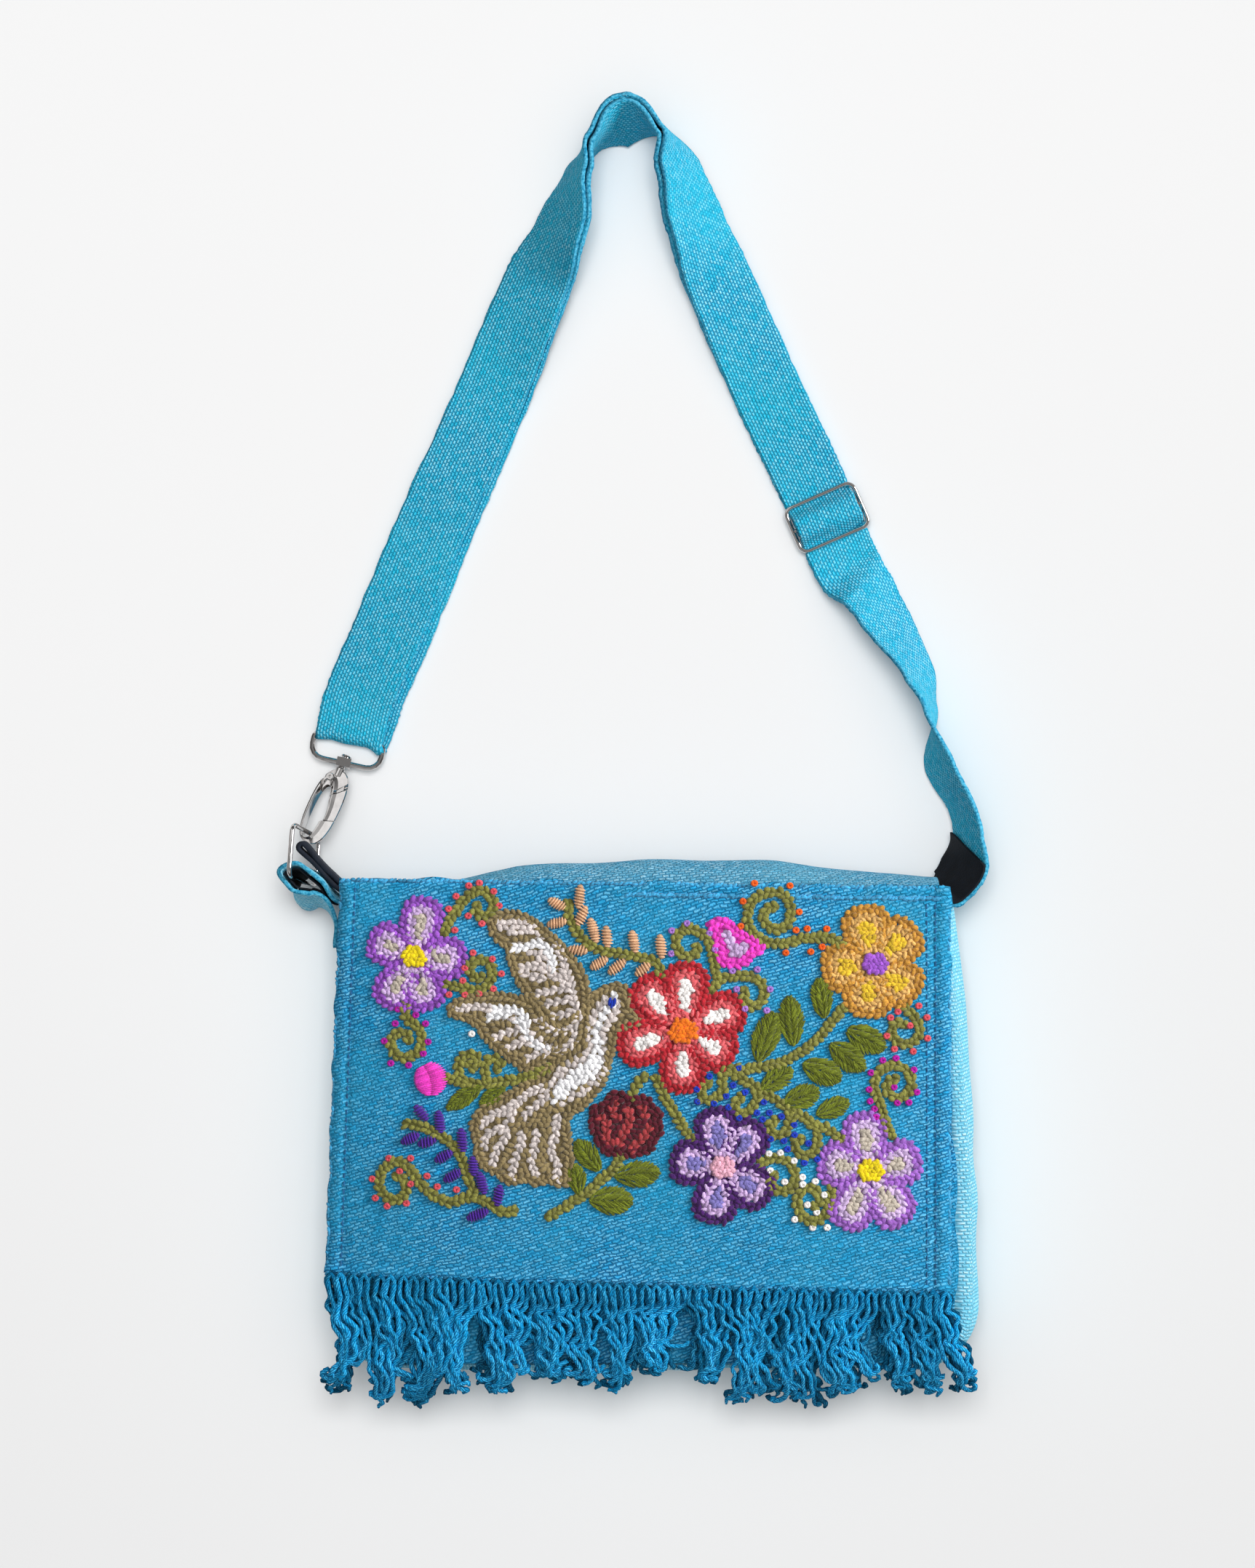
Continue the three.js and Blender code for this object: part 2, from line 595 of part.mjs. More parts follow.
// Leather on the strap's inner face where it enters the bag.
function strapPatch() {
  const away = STRAP_THICKNESS / 2 + PATCH_AIR + PATCH_THICKNESS / 2;
  const sections = rowsBetween(PATCH_FROM_ROW, PATCH_TO_ROW, 0.2).map((row) => {
    const frame = strapFrame(row);
    const centre = frame.centre.clone().addScaledVector(frame.face, -away);
    return { ...frame, centre, face: frame.face.clone().negate(), width: frame.width - 2 * PATCH_MARGIN };
  });
  return ribbon(sections, PATCH_THICKNESS, 2);
}

// A group whose own axes are the given right, up and towards directions.
function standing(position, right, up) {
  const group = new THREE.Group();
  const towards = new THREE.Vector3().crossVectors(right, up).normalize();
  const trueRight = new THREE.Vector3().crossVectors(up, towards).normalize();
  group.quaternion.setFromRotationMatrix(
    new THREE.Matrix4().makeBasis(trueRight, up.clone().normalize(), towards),
  );
  group.position.copy(position);
  return group;
}

// The slider: a wire frame with a bar across its middle.
function slider() {
  const width = SLIDER_INNER_WIDTH + WIRE;
  const frame = solid(wireLoop(roundedRectangle(width, SLIDER_LENGTH, SLIDER_CORNER, 3), WIRE, 8));
  const bar = new THREE.CylinderGeometry(WIRE / 2, WIRE / 2, width, 8).rotateZ(Math.PI / 2);
  return geometryOf(frame.add(solid(bar)));
}

// Swivel hook, in a frame whose Y axis is the swivel's, with the boss at its origin

function superellipse({ halfWidth, top, bottom }, steps) {
  const halfHeight = (top - bottom) / 2;
  const power = 2 / HOOK_ROUNDNESS;
  const points = [];
  for (let i = 0; i < steps; i++) {
    const angle = (i / steps) * Math.PI * 2;
    const c = Math.cos(angle);
    const s = Math.sin(angle);
    points.push(
      new THREE.Vector2(
        halfWidth * Math.sign(c) * Math.abs(c) ** power,
        (top + bottom) / 2 + halfHeight * Math.sign(s) * Math.abs(s) ** power,
      ),
    );
  }
  return points;
}

// A flat shape of some depth, centred on its own plane.
function slab(shape, depth, bevel = 0) {
  const geometry = new THREE.ExtrudeGeometry(shape, {
    depth: depth - 2 * bevel,
    bevelEnabled: bevel > 0,
    bevelThickness: bevel,
    bevelSize: bevel,
    bevelOffset: -bevel,
    bevelSegments: 1,
    curveSegments: 12,
  });
  return solid(geometry.translate(0, 0, bevel - depth / 2));
}

const box = (width, height, depth, x, y) =>
  solid(new THREE.BoxGeometry(width, height, depth).translate(x, y, 0));

const pivotRod = (radius, length, sides) =>
  solid(
    new THREE.CylinderGeometry(radius, radius, length, sides)
      .rotateX(Math.PI / 2)
      .translate(GATE_PIVOT.x, GATE_PIVOT.y, 0),
  );

const axisRod = (radius, from, to, sides) =>
  solid(new THREE.CylinderGeometry(radius, radius, to - from, sides).translate(0, (from + to) / 2, 0));

function hookBlank() {
  const shape = new THREE.Shape(superellipse(HOOK_OUTER, 36));
  shape.holes.push(new THREE.Path(superellipse(HOOK_EYE, 28)));
  return slab(shape, HOOK_DEPTH, HOOK_BEVEL);
}

// The limb that opens: right of the axis, from the notch down to an arc about the pivot.
function gateZone(play) {
  const reach = pivotRod(GATE_REACH - play, 2 * HOOK_DEPTH, 64);
  const limb = box(20, 40, 2 * HOOK_DEPTH, 10 + 1, GATE_TOP - 20 - play);
  return reach.intersect(limb);
}

function swivelHook() {
  const cheeksApart = TONGUE + 2 * GATE_PLAY;
  const slot = box(22, 14, cheeksApart, GATE_PIVOT.x - 2.6 + 11, GATE_PIVOT.y + 2.6 - 7);
  const post = axisRod(POST_RADIUS, HOOK_OUTER.top - 0.5, BOSS.height / 2 + 1, 14);
  const head = axisRod(POST_RADIUS + 1.1, BOSS.height / 2 + 0.7, BOSS.height / 2 + 1.8, 14);
  const neck = axisRod(POST_RADIUS + 0.8, HOOK_OUTER.top - 0.5, -BOSS.height / 2 - 0.8, 14);
  const rivetHole = pivotRod(RIVET_RADIUS + GATE_PLAY, 2 * HOOK_DEPTH, 12);
  const body = hookBlank().subtract(gateZone(0)).subtract(slot).subtract(rivetHole);
  return geometryOf(body.add(post).add(head).add(neck));
}

function hookGate() {
  const limb = hookBlank().intersect(gateZone(GATE_PLAY));
  const root = new THREE.Shape();
  root.absarc(GATE_PIVOT.x, GATE_PIVOT.y, 2.2, 0.35 * Math.PI, 1.35 * Math.PI);
  root.lineTo(4.9, GATE_TOP - 4);
  root.lineTo(6.3, GATE_TOP - 1.5);
  const tongue = slab(root, TONGUE);
  const rivetHole = pivotRod(RIVET_RADIUS + GATE_PLAY, 2 * HOOK_DEPTH, 12);
  return geometryOf(limb.add(tongue).subtract(rivetHole));
}

function gateRivet() {
  const shank = pivotRod(RIVET_RADIUS, HOOK_DEPTH + 0.8, 12);
  const head = (side) =>
    pivotRod(RIVET_HEAD.radius, RIVET_HEAD.height, 12).translate(
      0,
      0,
      side * (HOOK_DEPTH / 2 + 0.2 + RIVET_HEAD.height / 2),
    );
  return geometryOf(shank.add(head(1)).add(head(-1)));
}

// The ring in the strap's fold, with the boss that the hook's post turns in.
function strapRing(height) {
  const outline = roundedRectangle(
    STRAP_RING_WIDTH, height, STRAP_RING_CORNER, 4, STRAP_RING_LOW_CORNER,
  );
  const loop = solid(wireLoop(outline, RING_WIRE, 10).translate(0, height / 2, 0));
  const boss = box(BOSS.width, BOSS.height, BOSS.depth, 0, 0);
  return loop.add(boss);
}

function tabRing() {
  const outline = roundedRectangle(TAB_RING_BAR.length(), TAB_RING_SIDE.length(), TAB_RING_CORNER, 4);
  return wireLoop(outline, TAB_RING_WIRE, 10);
}

// Left tab

const barDirection = TAB_RING_BAR.clone().normalize();
const tabCurve = new THREE.CatmullRomCurve3(
  TAB_LOOP.map((row) => new THREE.Vector3(row.x, row.y, row.z)),
  false,
  "centripetal",
);

// The loop's sections, moved towards its hollow by inward.
function tabSections(inward, width, from, to) {
  const last = TAB_LOOP.length - 1;
  return rowsBetween(from, to, 0.25).map((row) => {
    const below = Math.min(Math.floor(row), last - 1);
    const share = smooth(row - below);
    const mix = (column) => lerp(TAB_LOOP[below][column], TAB_LOOP[below + 1][column], share);
    const run = tabCurve.getTangent(row / last);
    const slant = barDirection.clone().negate();
    const side = slant.lerp(UP, mix("upright")).normalize();
    side.addScaledVector(run, -side.dot(run)).normalize();
    side.addScaledVector(new THREE.Vector3().crossVectors(run, side), mix("tilt")).normalize();
    const face = new THREE.Vector3().crossVectors(run, side);
    const centre = tabCurve.getPoint(row / last).addScaledVector(face, inward);
    return { centre, side, face, width };
  });
}

const tabLoop = () => ribbon(tabSections(0, TAB_WIDTH, 0, TAB_LOOP.length - 1), TAB_THICKNESS, 3);

function tabLining() {
  const inward = TAB_THICKNESS / 2 + TAB_LINING_AIR + TAB_LINING / 2;
  const { from, to } = TAB_LINING_ROWS;
  return ribbon(tabSections(inward, TAB_WIDTH - 2 * TAB_LINING_MARGIN, from, to), TAB_LINING, 3);
}

// A leather strip folded back on itself, on edge, from the bag's corner into the ring.
function ringKeeper() {
  const curve = new THREE.CatmullRomCurve3(
    KEEPER_ROUTE.map((row) => new THREE.Vector3(row.x, row.y, KEEPER_Z)),
    false,
    "centripetal",
  );
  const steps = 10;
  const layer = (way) => {
    const sections = [];
    for (let i = 0; i <= steps; i++) {
      const t = way > 0 ? i / steps : 1 - i / steps;
      const run = curve.getTangent(t);
      const left = new THREE.Vector3().crossVectors(UP, run);
      const centre = curve.getPoint(t).addScaledVector(left, (way * KEEPER_STEP) / 2);
      sections.push({ centre, side: UP, face: left.multiplyScalar(-way), width: KEEPER_WIDTH });
    }
    return sections;
  };
  const end = curve.getPoint(1);
  const run = curve.getTangent(1);
  const left = new THREE.Vector3().crossVectors(UP, run);
  const fold = [];
  for (let i = 1; i < 6; i++) {
    const angle = (i / 6) * Math.PI;
    const out = left.clone().multiplyScalar(Math.cos(angle)).addScaledVector(run, Math.sin(angle));
    const centre = end.clone().addScaledVector(out, KEEPER_STEP / 2);
    fold.push({ centre, side: UP, face: out.clone().negate(), width: KEEPER_WIDTH });
  }
  return ribbon([...layer(1), ...fold, ...layer(-1)], KEEPER_LEATHER);
}

// Assembly

const bag = new THREE.Group();
bag.add(
  piece("back_panel", backPanel(), woolBlue),
  piece("front_panel", frontPanel(), woolBlue),
  piece("gusset", gusset(), gussetBlue),
  piece("flap", flap(), woolBlue),
  piece("fringe", fringe(), fringeBlue),
  piece("strap", strap(), webbingBlue),
  piece("strap_patch", strapPatch(), blackLeather),
  piece("tab_loop", tabLoop(), gussetBlue),
  piece("tab_lining", tabLining(), blackLeather),
  piece("ring_keeper", ringKeeper(), blackLeather),
);

const sliderPlace = standing(
  sliderFrame.centre.clone().setZ(SLIDER_Z),
  sliderFrame.side,
  sliderFrame.run.clone(),
);
sliderPlace.add(piece("strap_slider", slider(), nickel));
bag.add(sliderPlace);

const tabRingPlace = standing(
  TAB_RING_CORNER_POINT.clone().addScaledVector(TAB_RING_BAR, 0.5).addScaledVector(TAB_RING_SIDE, 0.5),
  TAB_RING_BAR,
  TAB_RING_SIDE.clone().negate(),
);
tabRingPlace.add(piece("tab_ring", tabRing(), nickel));
bag.add(tabRingPlace);

// The hook hangs on the tab ring's upper bar, and its eye's plane is square to that bar.
const ringBarCentre = strapFrame(0).centre.clone().setZ(ringBarZ);
const held = TAB_RING_CORNER_POINT.clone().addScaledVector(TAB_RING_BAR, HOOK_HOLDS_BAR_AT);
const bossCentre = ringBarCentre
  .clone()
  .addScaledVector(strapFrame(0).run, -STRAP_RING_HEIGHT)
  .setZ(ringBarZ + 2.5);
const swivelAxis = bossCentre.clone().sub(held).normalize();
const hookOrigin = held.clone().addScaledVector(swivelAxis, -HOLD_Y);
const hookRight = new THREE.Vector3().crossVectors(swivelAxis, barDirection.clone().negate());
const hookPlace = standing(hookOrigin, hookRight, swivelAxis);
hookPlace.add(piece("snap_hook", swivelHook(), nickel));
hookPlace.add(piece("hook_gate", hookGate(), nickel));
hookPlace.add(piece("gate_rivet", gateRivet(), nickel));
bag.add(hookPlace);

// The strap ring is bored along the swivel's axis.
const ringUp = ringBarCentre.clone().sub(hookOrigin);
const ringPlace = standing(hookOrigin, strapFrame(0).side.clone().negate(), ringUp);
const boreTurn = new THREE.Quaternion().setFromUnitVectors(
  new THREE.Vector3(0, 1, 0),
  swivelAxis.clone().applyQuaternion(ringPlace.quaternion.clone().invert()),
);
const bore = new THREE.CylinderGeometry(POST_RADIUS + POST_PLAY, POST_RADIUS + POST_PLAY, 12, 14);
const boredRing = strapRing(ringUp.length()).subtract(solid(bore.applyQuaternion(boreTurn)));
ringPlace.add(piece("strap_ring", geometryOf(boredRing), nickel));
bag.add(ringPlace);

export default bag;
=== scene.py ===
# Embroidered wool shoulder bag, lying on its back and seen from straight above.
# Lengths are in millimetres while a piece is made, and its mesh is in metres.
import math

import bmesh
import bpy
import numpy as np
from mathutils import Matrix, Vector


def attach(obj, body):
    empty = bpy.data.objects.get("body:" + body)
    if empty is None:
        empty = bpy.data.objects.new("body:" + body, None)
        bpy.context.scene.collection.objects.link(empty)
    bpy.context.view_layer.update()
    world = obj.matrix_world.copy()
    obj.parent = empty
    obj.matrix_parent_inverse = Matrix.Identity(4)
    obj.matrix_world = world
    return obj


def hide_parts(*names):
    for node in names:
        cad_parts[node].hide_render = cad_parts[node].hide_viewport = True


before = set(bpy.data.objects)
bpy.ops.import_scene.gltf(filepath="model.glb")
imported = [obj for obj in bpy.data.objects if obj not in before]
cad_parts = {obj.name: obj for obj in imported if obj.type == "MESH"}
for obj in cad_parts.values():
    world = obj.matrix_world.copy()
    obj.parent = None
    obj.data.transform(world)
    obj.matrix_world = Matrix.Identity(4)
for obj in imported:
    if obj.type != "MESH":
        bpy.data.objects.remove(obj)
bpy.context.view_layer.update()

MM = 0.001
chance = np.random.default_rng(11)

# The body's own sizes, the same as the solids'
CLOTH = 2.2
SEAM_GAP = 0.4
MOUTH_Y, BOTTOM_Y = 103.0, -117.0
CORNER_RADIUS = 26.0
SEAM_HALF_WIDTH = 141.5
LEFT_SPREAD, RIGHT_SPREAD = 4.0, 15.0
WIDEST_Y = -70.0
DEPTH_AT_MOUTH, DEPTH_AT_BOTTOM = 38.0, 46.0
FRONT_SWELL, GUSSET_SWELL = 7.0, 5.0
TURN_START_Y, TURN_END_Y = 106.0, 107.0
# x, y of the outermost line of the fold over the mouth
TURN_EDGE = [(-137, 114), (-90, 115.2), (-76, 118.8), (-62, 121.2), (-36, 123), (0, 124.3), (38, 124.7),
             (64, 123.8), (94, 120.5), (116, 117.6), (137, 116.6)]
CORNER_OPENING = 5.0
FLAP_THICKNESS, FLAP_REST = 2.8, 1.2
FLAP_TOP_LEFT, FLAP_TOP_RIGHT = (-146.6, 116.5), (148.0, 112.4)
FLAP_BOTTOM_LEFT, FLAP_BOTTOM_RIGHT = (-153.3, -74.2), (147.4, -83.3)
HEM = 7.6  # from the flap's side edges to the line of stitches

# Camera and light

CAMERA_AT = (-7.9, 161.7, 1700.0)
CAMERA_LENS = 78.96

camera_data = bpy.data.cameras.new("from_above")
camera_data.lens = CAMERA_LENS
camera_data.sensor_width = 36
camera_data.clip_end = 50
camera = bpy.data.objects.new("from_above", camera_data)
camera.location = Vector(CAMERA_AT) * MM
bpy.context.scene.collection.objects.link(camera)
bpy.context.scene.camera = camera
bpy.context.scene.view_settings.view_transform = "Standard"


def area_light(name, at, aim, width, height, watts):
    """A soft box at a place in metres, turned to shine at another."""
    data = bpy.data.lights.new(name, "AREA")
    data.shape = "RECTANGLE"
    data.size, data.size_y, data.energy = width, height, watts
    lamp = bpy.data.objects.new(name, data)
    lamp.location = at
    lamp.rotation_euler = (Vector(aim) - Vector(at)).to_track_quat("-Z", "Y").to_euler()
    bpy.context.scene.collection.objects.link(lamp)
    return lamp


BAG_MIDDLE, PAPER_MIDDLE, HOOK_MIDDLE = (0, 0.15, 0), (-0.01, 0.4, 0), (-0.15, 0.16, 0)
side_light = area_light("soft_box_right", (1.54, 0.78, 1.06), BAG_MIDDLE, 0.9, 0.9, watts=42)
top_light = area_light("soft_box_top", (0.0, 0.5, 2.4), BAG_MIDDLE, 1.8, 1.4, watts=13)
paper_light = area_light("paper_light", (-0.01, 0.75, 2.5), PAPER_MIDDLE, 1.0, 1.0, watts=28)
metal_card = area_light("metal_card", (-0.78, 1.11, 0.98), HOOK_MIDDLE, 1.0, 1.0, watts=2.0)

# Materials


def linear(code):
    """An sRGB hex colour as linear RGBA."""
    channels = [int(code[i:i + 2], 16) / 255 for i in (1, 3, 5)]
    return [c / 12.92 if c <= 0.04045 else ((c + 0.055) / 1.055) ** 2.4 for c in channels] + [1.0]


def add(tree, kind, inputs=None, **settings):
    """A node with its settings; inputs holds values, or other nodes' outputs to link."""
    node = tree.nodes.new(kind)
    for name, value in settings.items():
        setattr(node, name, value)
    for name, value in (inputs or {}).items():
        if isinstance(value, bpy.types.NodeSocket):
            tree.links.new(value, node.inputs[name])
        else:
            node.inputs[name].default_value = value
    return node


def new_material(name, **shader):
    """A material, its tree and its shader, whose fixed values are set on its own sockets."""
    material = bpy.data.materials.new(name)
    material.use_nodes = True
    surface = material.node_tree.nodes["Principled BSDF"]
    for socket, value in shader.items():
        surface.inputs[socket.replace("_", " ").title().replace("Ior", "IOR")].default_value = value
    return material, material.node_tree, surface


def woven(name, yarn, bright, shaded_gap, thread, turn, wobble, relief, patch, patch_share, mottle, tone=False):
    """Cloth on a UV map in millimetres: rows of rounded lobes of thread (long, wide), turned by an
    angle, with yarn that goes from one colour to a brighter one, and painted shade between threads.
    Wool and cotton scatter light softly, so they are rough with a faint sheen on their fuzz."""
    material, tree, surface = new_material(
        name, roughness=0.95, specular_ior_level=0.08, sheen_weight=0.06, sheen_roughness=0.5
    )
    surface.inputs["Sheen Tint"].default_value = linear(bright)
    long, wide = thread
    cloth = add(tree, "ShaderNodeUVMap", uv_map="weave").outputs["UV"]
    # Hand weaving wanders by about a thread over a centimetre.
    wander = add(tree, "ShaderNodeTexNoise", {"Vector": cloth, "Scale": 0.11, "Detail": 2.0})
    shift = add(tree, "ShaderNodeVectorMath", {0: wander.outputs["Color"], 1: (0.5, 0.5, 0.5)},
                operation="SUBTRACT")
    moved = add(tree, "ShaderNodeVectorMath",
                {0: shift.outputs[0], 1: (wobble, wobble, 0.0), 2: cloth}, operation="MULTIPLY_ADD")
    fray = add(tree, "ShaderNodeTexNoise", {"Vector": cloth, "Scale": 0.45, "Detail": 2.0})
    loose = add(tree, "ShaderNodeVectorMath", {0: fray.outputs["Color"], 1: (0.5, 0.5, 0.5)},
                operation="SUBTRACT")
    frayed = add(tree, "ShaderNodeVectorMath",
                 {0: loose.outputs[0], 1: (wobble * 0.6, wobble * 0.6, 0.0), 2: moved.outputs[0]},
                 operation="MULTIPLY_ADD")
    turned = add(tree, "ShaderNodeMapping", {"Vector": frayed.outputs[0], "Rotation": (0, 0, turn)})
    # The mortar between the lobes, low in the bump, is painted shade.
    lobes = add(tree, "ShaderNodeTexBrick",
                {"Vector": turned.outputs[0], "Color1": linear(yarn), "Color2": linear(bright),
                 "Mortar": linear(shaded_gap), "Scale": 1.0, "Mortar Size": wide * 0.42,
                 "Mortar Smooth": 1.0, "Brick Width": long, "Row Height": wide},
                offset=0.5, offset_frequency=2)
    # Heathered yarn: fleece dyed a little lighter and darker, in streaks of some millimetres.
    heather = add(tree, "ShaderNodeTexNoise", {"Vector": cloth, "Scale": 0.35, "Detail": 3.0})
    streaks = add(tree, "ShaderNodeMapRange", {"Value": heather.outputs["Fac"], "From Min": 0.3,
                                               "From Max": 0.7, "To Min": 1 - mottle, "To Max": 1 + mottle})
    broad = add(tree, "ShaderNodeTexNoise", {"Vector": cloth, "Scale": 0.016, "Detail": 2.0})
    shade = add(tree, "ShaderNodeMapRange", {"Value": broad.outputs["Fac"], "From Min": 0.35,
                                             "From Max": 0.65, "To Min": 0.0, "To Max": patch_share})
    patched = add(tree, "ShaderNodeMix", {0: shade.outputs[0], 6: lobes.outputs["Color"],
                                          7: linear(patch)}, data_type="RGBA", blend_type="MIX")
    toned = add(tree, "ShaderNodeVectorMath",
                {0: patched.outputs[2], 1: streaks.outputs[0]}, operation="MULTIPLY")
    colour = toned.outputs[0]
    # A tone attribute, where a piece has one, also holds painted shade.
    if tone:
        strand = add(tree, "ShaderNodeAttribute", attribute_name="tone").outputs["Color"]
        colour = add(tree, "ShaderNodeVectorMath", {0: colour, 1: strand},
                     operation="MULTIPLY").outputs[0]
    tree.links.new(colour, surface.inputs["Base Color"])
    # Single fibres are finer than a pixel; this is fuzz of about a third of a millimetre.
    fuzz = add(tree, "ShaderNodeTexNoise", {"Vector": cloth, "Scale": 3.0, "Detail": 2.0})
    height = add(tree, "ShaderNodeMath", {0: fuzz.outputs["Fac"], 1: 0.45, 2: lobes.outputs["Fac"]},
                 operation="MULTIPLY_ADD")
    bump = add(tree, "ShaderNodeBump", {"Height": height.outputs[0], "Strength": 1.0,
                                        "Distance": relief * MM}, invert=True)
    tree.links.new(bump.outputs[0], surface.inputs["Normal"])
    return material


# Hand-woven heathered wool: slanting lobes of soft yarn with dark gaps, bluer or greener in patches.
wool = woven("handwoven_wool", "#2ba3da", "#70c5ec", "#106ba0", thread=(3.7, 1.6),
             turn=math.radians(-17), wobble=2.6, relief=0.5, patch="#2a9fc8", patch_share=0.5, mottle=0.24)
# The same wool where it is worn over the mouth, paler and dustier.
worn_wool = woven("worn_wool", "#58a9cb", "#a4d6ea", "#2f7fa8", thread=(3.2, 1.6),
                  turn=math.radians(-8), wobble=2.6, relief=0.5, patch="#5fa9c4", patch_share=0.5,
                  mottle=0.2)
# Strap webbing: a close weave of round lobes in columns along the strap.
webbing = woven("ribbed_webbing", "#34c2e4", "#94e0f4", "#0a8ab6", thread=(2.1, 1.5),
                turn=math.radians(90), wobble=0.6, relief=0.5, patch="#26c0de", patch_share=0.4,
                mottle=0.12)
# Gusset and tab: a coarser, paler weave of the same yarn.
gusset_cloth = woven("pale_gusset_weave", "#86d3ec", "#c8f0fa", "#5fb6d6", thread=(2.8, 1.7),
                     turn=math.radians(90), wobble=1.2, relief=0.45, patch="#6cc8e4", patch_share=0.5,
                     mottle=0.12)
# Fringe yarn: loosely twisted singles, whose twist shows as slanting lobes, fuzzy all over.
yarn = woven("twisted_fringe_yarn", "#0a8ac4", "#44b4e2", "#044e80", thread=(5.0, 1.3),
             turn=math.radians(52), wobble=0.8, relief=0.3, patch="#0c8aba", patch_share=0.4, mottle=0.2,
             tone=True)


def felted(name, dark, bright):
    """The fuzzy yarn of a woven or cut edge, with tufts of about a millimetre, darker where their bump
    is low and brighter on their tops: painted light and shade.
    """
    material, tree, surface = new_material(name, roughness=0.95, specular_ior_level=0.1)
    place = add(tree, "ShaderNodeTexCoord").outputs["Object"]
    tufts = add(tree, "ShaderNodeTexNoise", {"Vector": place, "Scale": 800.0, "Detail": 3.0})
    blend = add(tree, "ShaderNodeMapRange", {"Value": tufts.outputs["Fac"], "From Min": 0.35,
                                             "From Max": 0.65})
    # Colour follows the tufts' bump: painted light and shade.
    colour = add(tree, "ShaderNodeMix", {0: blend.outputs[0], 6: linear(dark), 7: linear(bright)},
                 data_type="RGBA")
    tree.links.new(colour.outputs[2], surface.inputs["Base Color"])
    bump = add(tree, "ShaderNodeBump", {"Height": tufts.outputs["Fac"], "Strength": 0.8,
                                        "Distance": 0.5 * MM})
    tree.links.new(bump.outputs[0], surface.inputs["Normal"])
    return material


# The strap's selvedge and the flap's rolled hem.
selvedge = felted("strap_selvedge", "#17799f", "#58b8d8")
rolled_hem = felted("rolled_hem", "#2f86b2", "#8ccbe6")


def embroidery_wool():
    """Crewel wool: two-ply thread dyed in the colour of its stitch, matt, with fuzz on it."""
    material, tree, surface = new_material(
        "crewel_wool", roughness=0.9, specular_ior_level=0.2, sheen_weight=0.25, sheen_roughness=0.5
    )
    place = add(tree, "ShaderNodeTexCoord").outputs["Object"]
    dyed = add(tree, "ShaderNodeAttribute", attribute_name="thread").outputs["Color"]
    # Plies about 0.7 mm apart, darker where their bump is low: painted shade between the plies.
    plies = add(tree, "ShaderNodeTexNoise", {"Vector": place, "Scale": 1400.0, "Detail": 3.0})
    ply_shade = add(tree, "ShaderNodeMapRange", {"Value": plies.outputs["Fac"], "From Min": 0.3,
                                             "From Max": 0.7, "To Min": 0.68, "To Max": 1.28})
    colour = add(tree, "ShaderNodeVectorMath", {0: dyed, 1: ply_shade.outputs[0]}, operation="MULTIPLY")
    tree.links.new(colour.outputs[0], surface.inputs["Base Color"])
    bump = add(tree, "ShaderNodeBump", {"Height": plies.outputs["Fac"], "Strength": 0.8,
                                        "Distance": 0.35 * MM})
    tree.links.new(bump.outputs[0], surface.inputs["Normal"])
    return material


def grained_leather(name, dark, painted_sheen):
    """Dark chrome-tanned leather: fine pebbled grain, dull, with greyer blotches of painted sheen."""
    material, tree, surface = new_material(name, roughness=0.78, specular_ior_level=0.2)
    place = add(tree, "ShaderNodeTexCoord").outputs["Object"]
    # Pebbles about 0.9 mm wide.
    grain = add(tree, "ShaderNodeTexVoronoi", {"Vector": place, "Scale": 1100.0}, feature="F1")
    # Greyer blotches, some millimetres across, are painted sheen.
    sheen_blotches = add(tree, "ShaderNodeTexNoise", {"Vector": place, "Scale": 160.0, "Detail": 4.0})
    sheened_colour = add(tree, "ShaderNodeMix", {0: sheen_blotches.outputs["Fac"], 6: linear(dark),
                                       7: linear(painted_sheen)}, data_type="RGBA")
    tree.links.new(sheened_colour.outputs[2], surface.inputs["Base Color"])
    bump = add(tree, "ShaderNodeBump", {"Height": grain.outputs["Distance"], "Strength": 0.5,
                                        "Distance": 0.25 * MM}, invert=True)
    tree.links.new(bump.outputs[0], surface.inputs["Normal"])
    return material


def plated_nickel():
    """Nickel-plated zinc casting and wire: bright, with handling marks that dull it."""
    material, tree, surface = new_material("nickel_plate", metallic=1.0)
    place = add(tree, "ShaderNodeTexCoord").outputs["Object"]
    # Smears a few millimetres wide and casting waves under the plate.
    smear = add(tree, "ShaderNodeTexNoise", {"Vector": place, "Scale": 300.0, "Detail": 4.0})
    dull = add(tree, "ShaderNodeMapRange", {"Value": smear.outputs["Fac"], "From Min": 0.3,
                                            "From Max": 0.7, "To Min": 0.05, "To Max": 0.14})
    tint = add(tree, "ShaderNodeMix", {0: smear.outputs["Fac"], 6: linear("#d9d6d4"),
                                       7: linear("#bbb8b7")}, data_type="RGBA")
    tree.links.new(dull.outputs[0], surface.inputs["Roughness"])
    tree.links.new(tint.outputs[2], surface.inputs["Base Color"])
    bump = add(tree, "ShaderNodeBump", {"Height": smear.outputs["Fac"], "Strength": 0.06,
                                        "Distance": 0.2 * MM})
    tree.links.new(bump.outputs[0], surface.inputs["Normal"])
    return material


def studio_paper():
    """Matt white background paper."""
    material, tree, surface = new_material("studio_paper", roughness=0.9, specular_ior_level=0.1)
    place = add(tree, "ShaderNodeTexCoord").outputs["Object"]
    tooth = add(tree, "ShaderNodeTexNoise", {"Vector": place, "Scale": 2.0, "Detail": 1.0})
    tone = add(tree, "ShaderNodeMix", {0: tooth.outputs["Fac"], 6: linear("#f2f2f2"),
                                       7: linear("#f6f6f6")}, data_type="RGBA")
    tree.links.new(tone.outputs[2], surface.inputs["Base Color"])
    return material


crewel = embroidery_wool()
# The second colour of each leather is its painted sheen.
leather = grained_leather("black_leather", "#05070b", "#1a1f28")
keeper_leather = grained_leather("blue_black_leather", "#0c1018", "#2b313d")
nickel = plated_nickel()

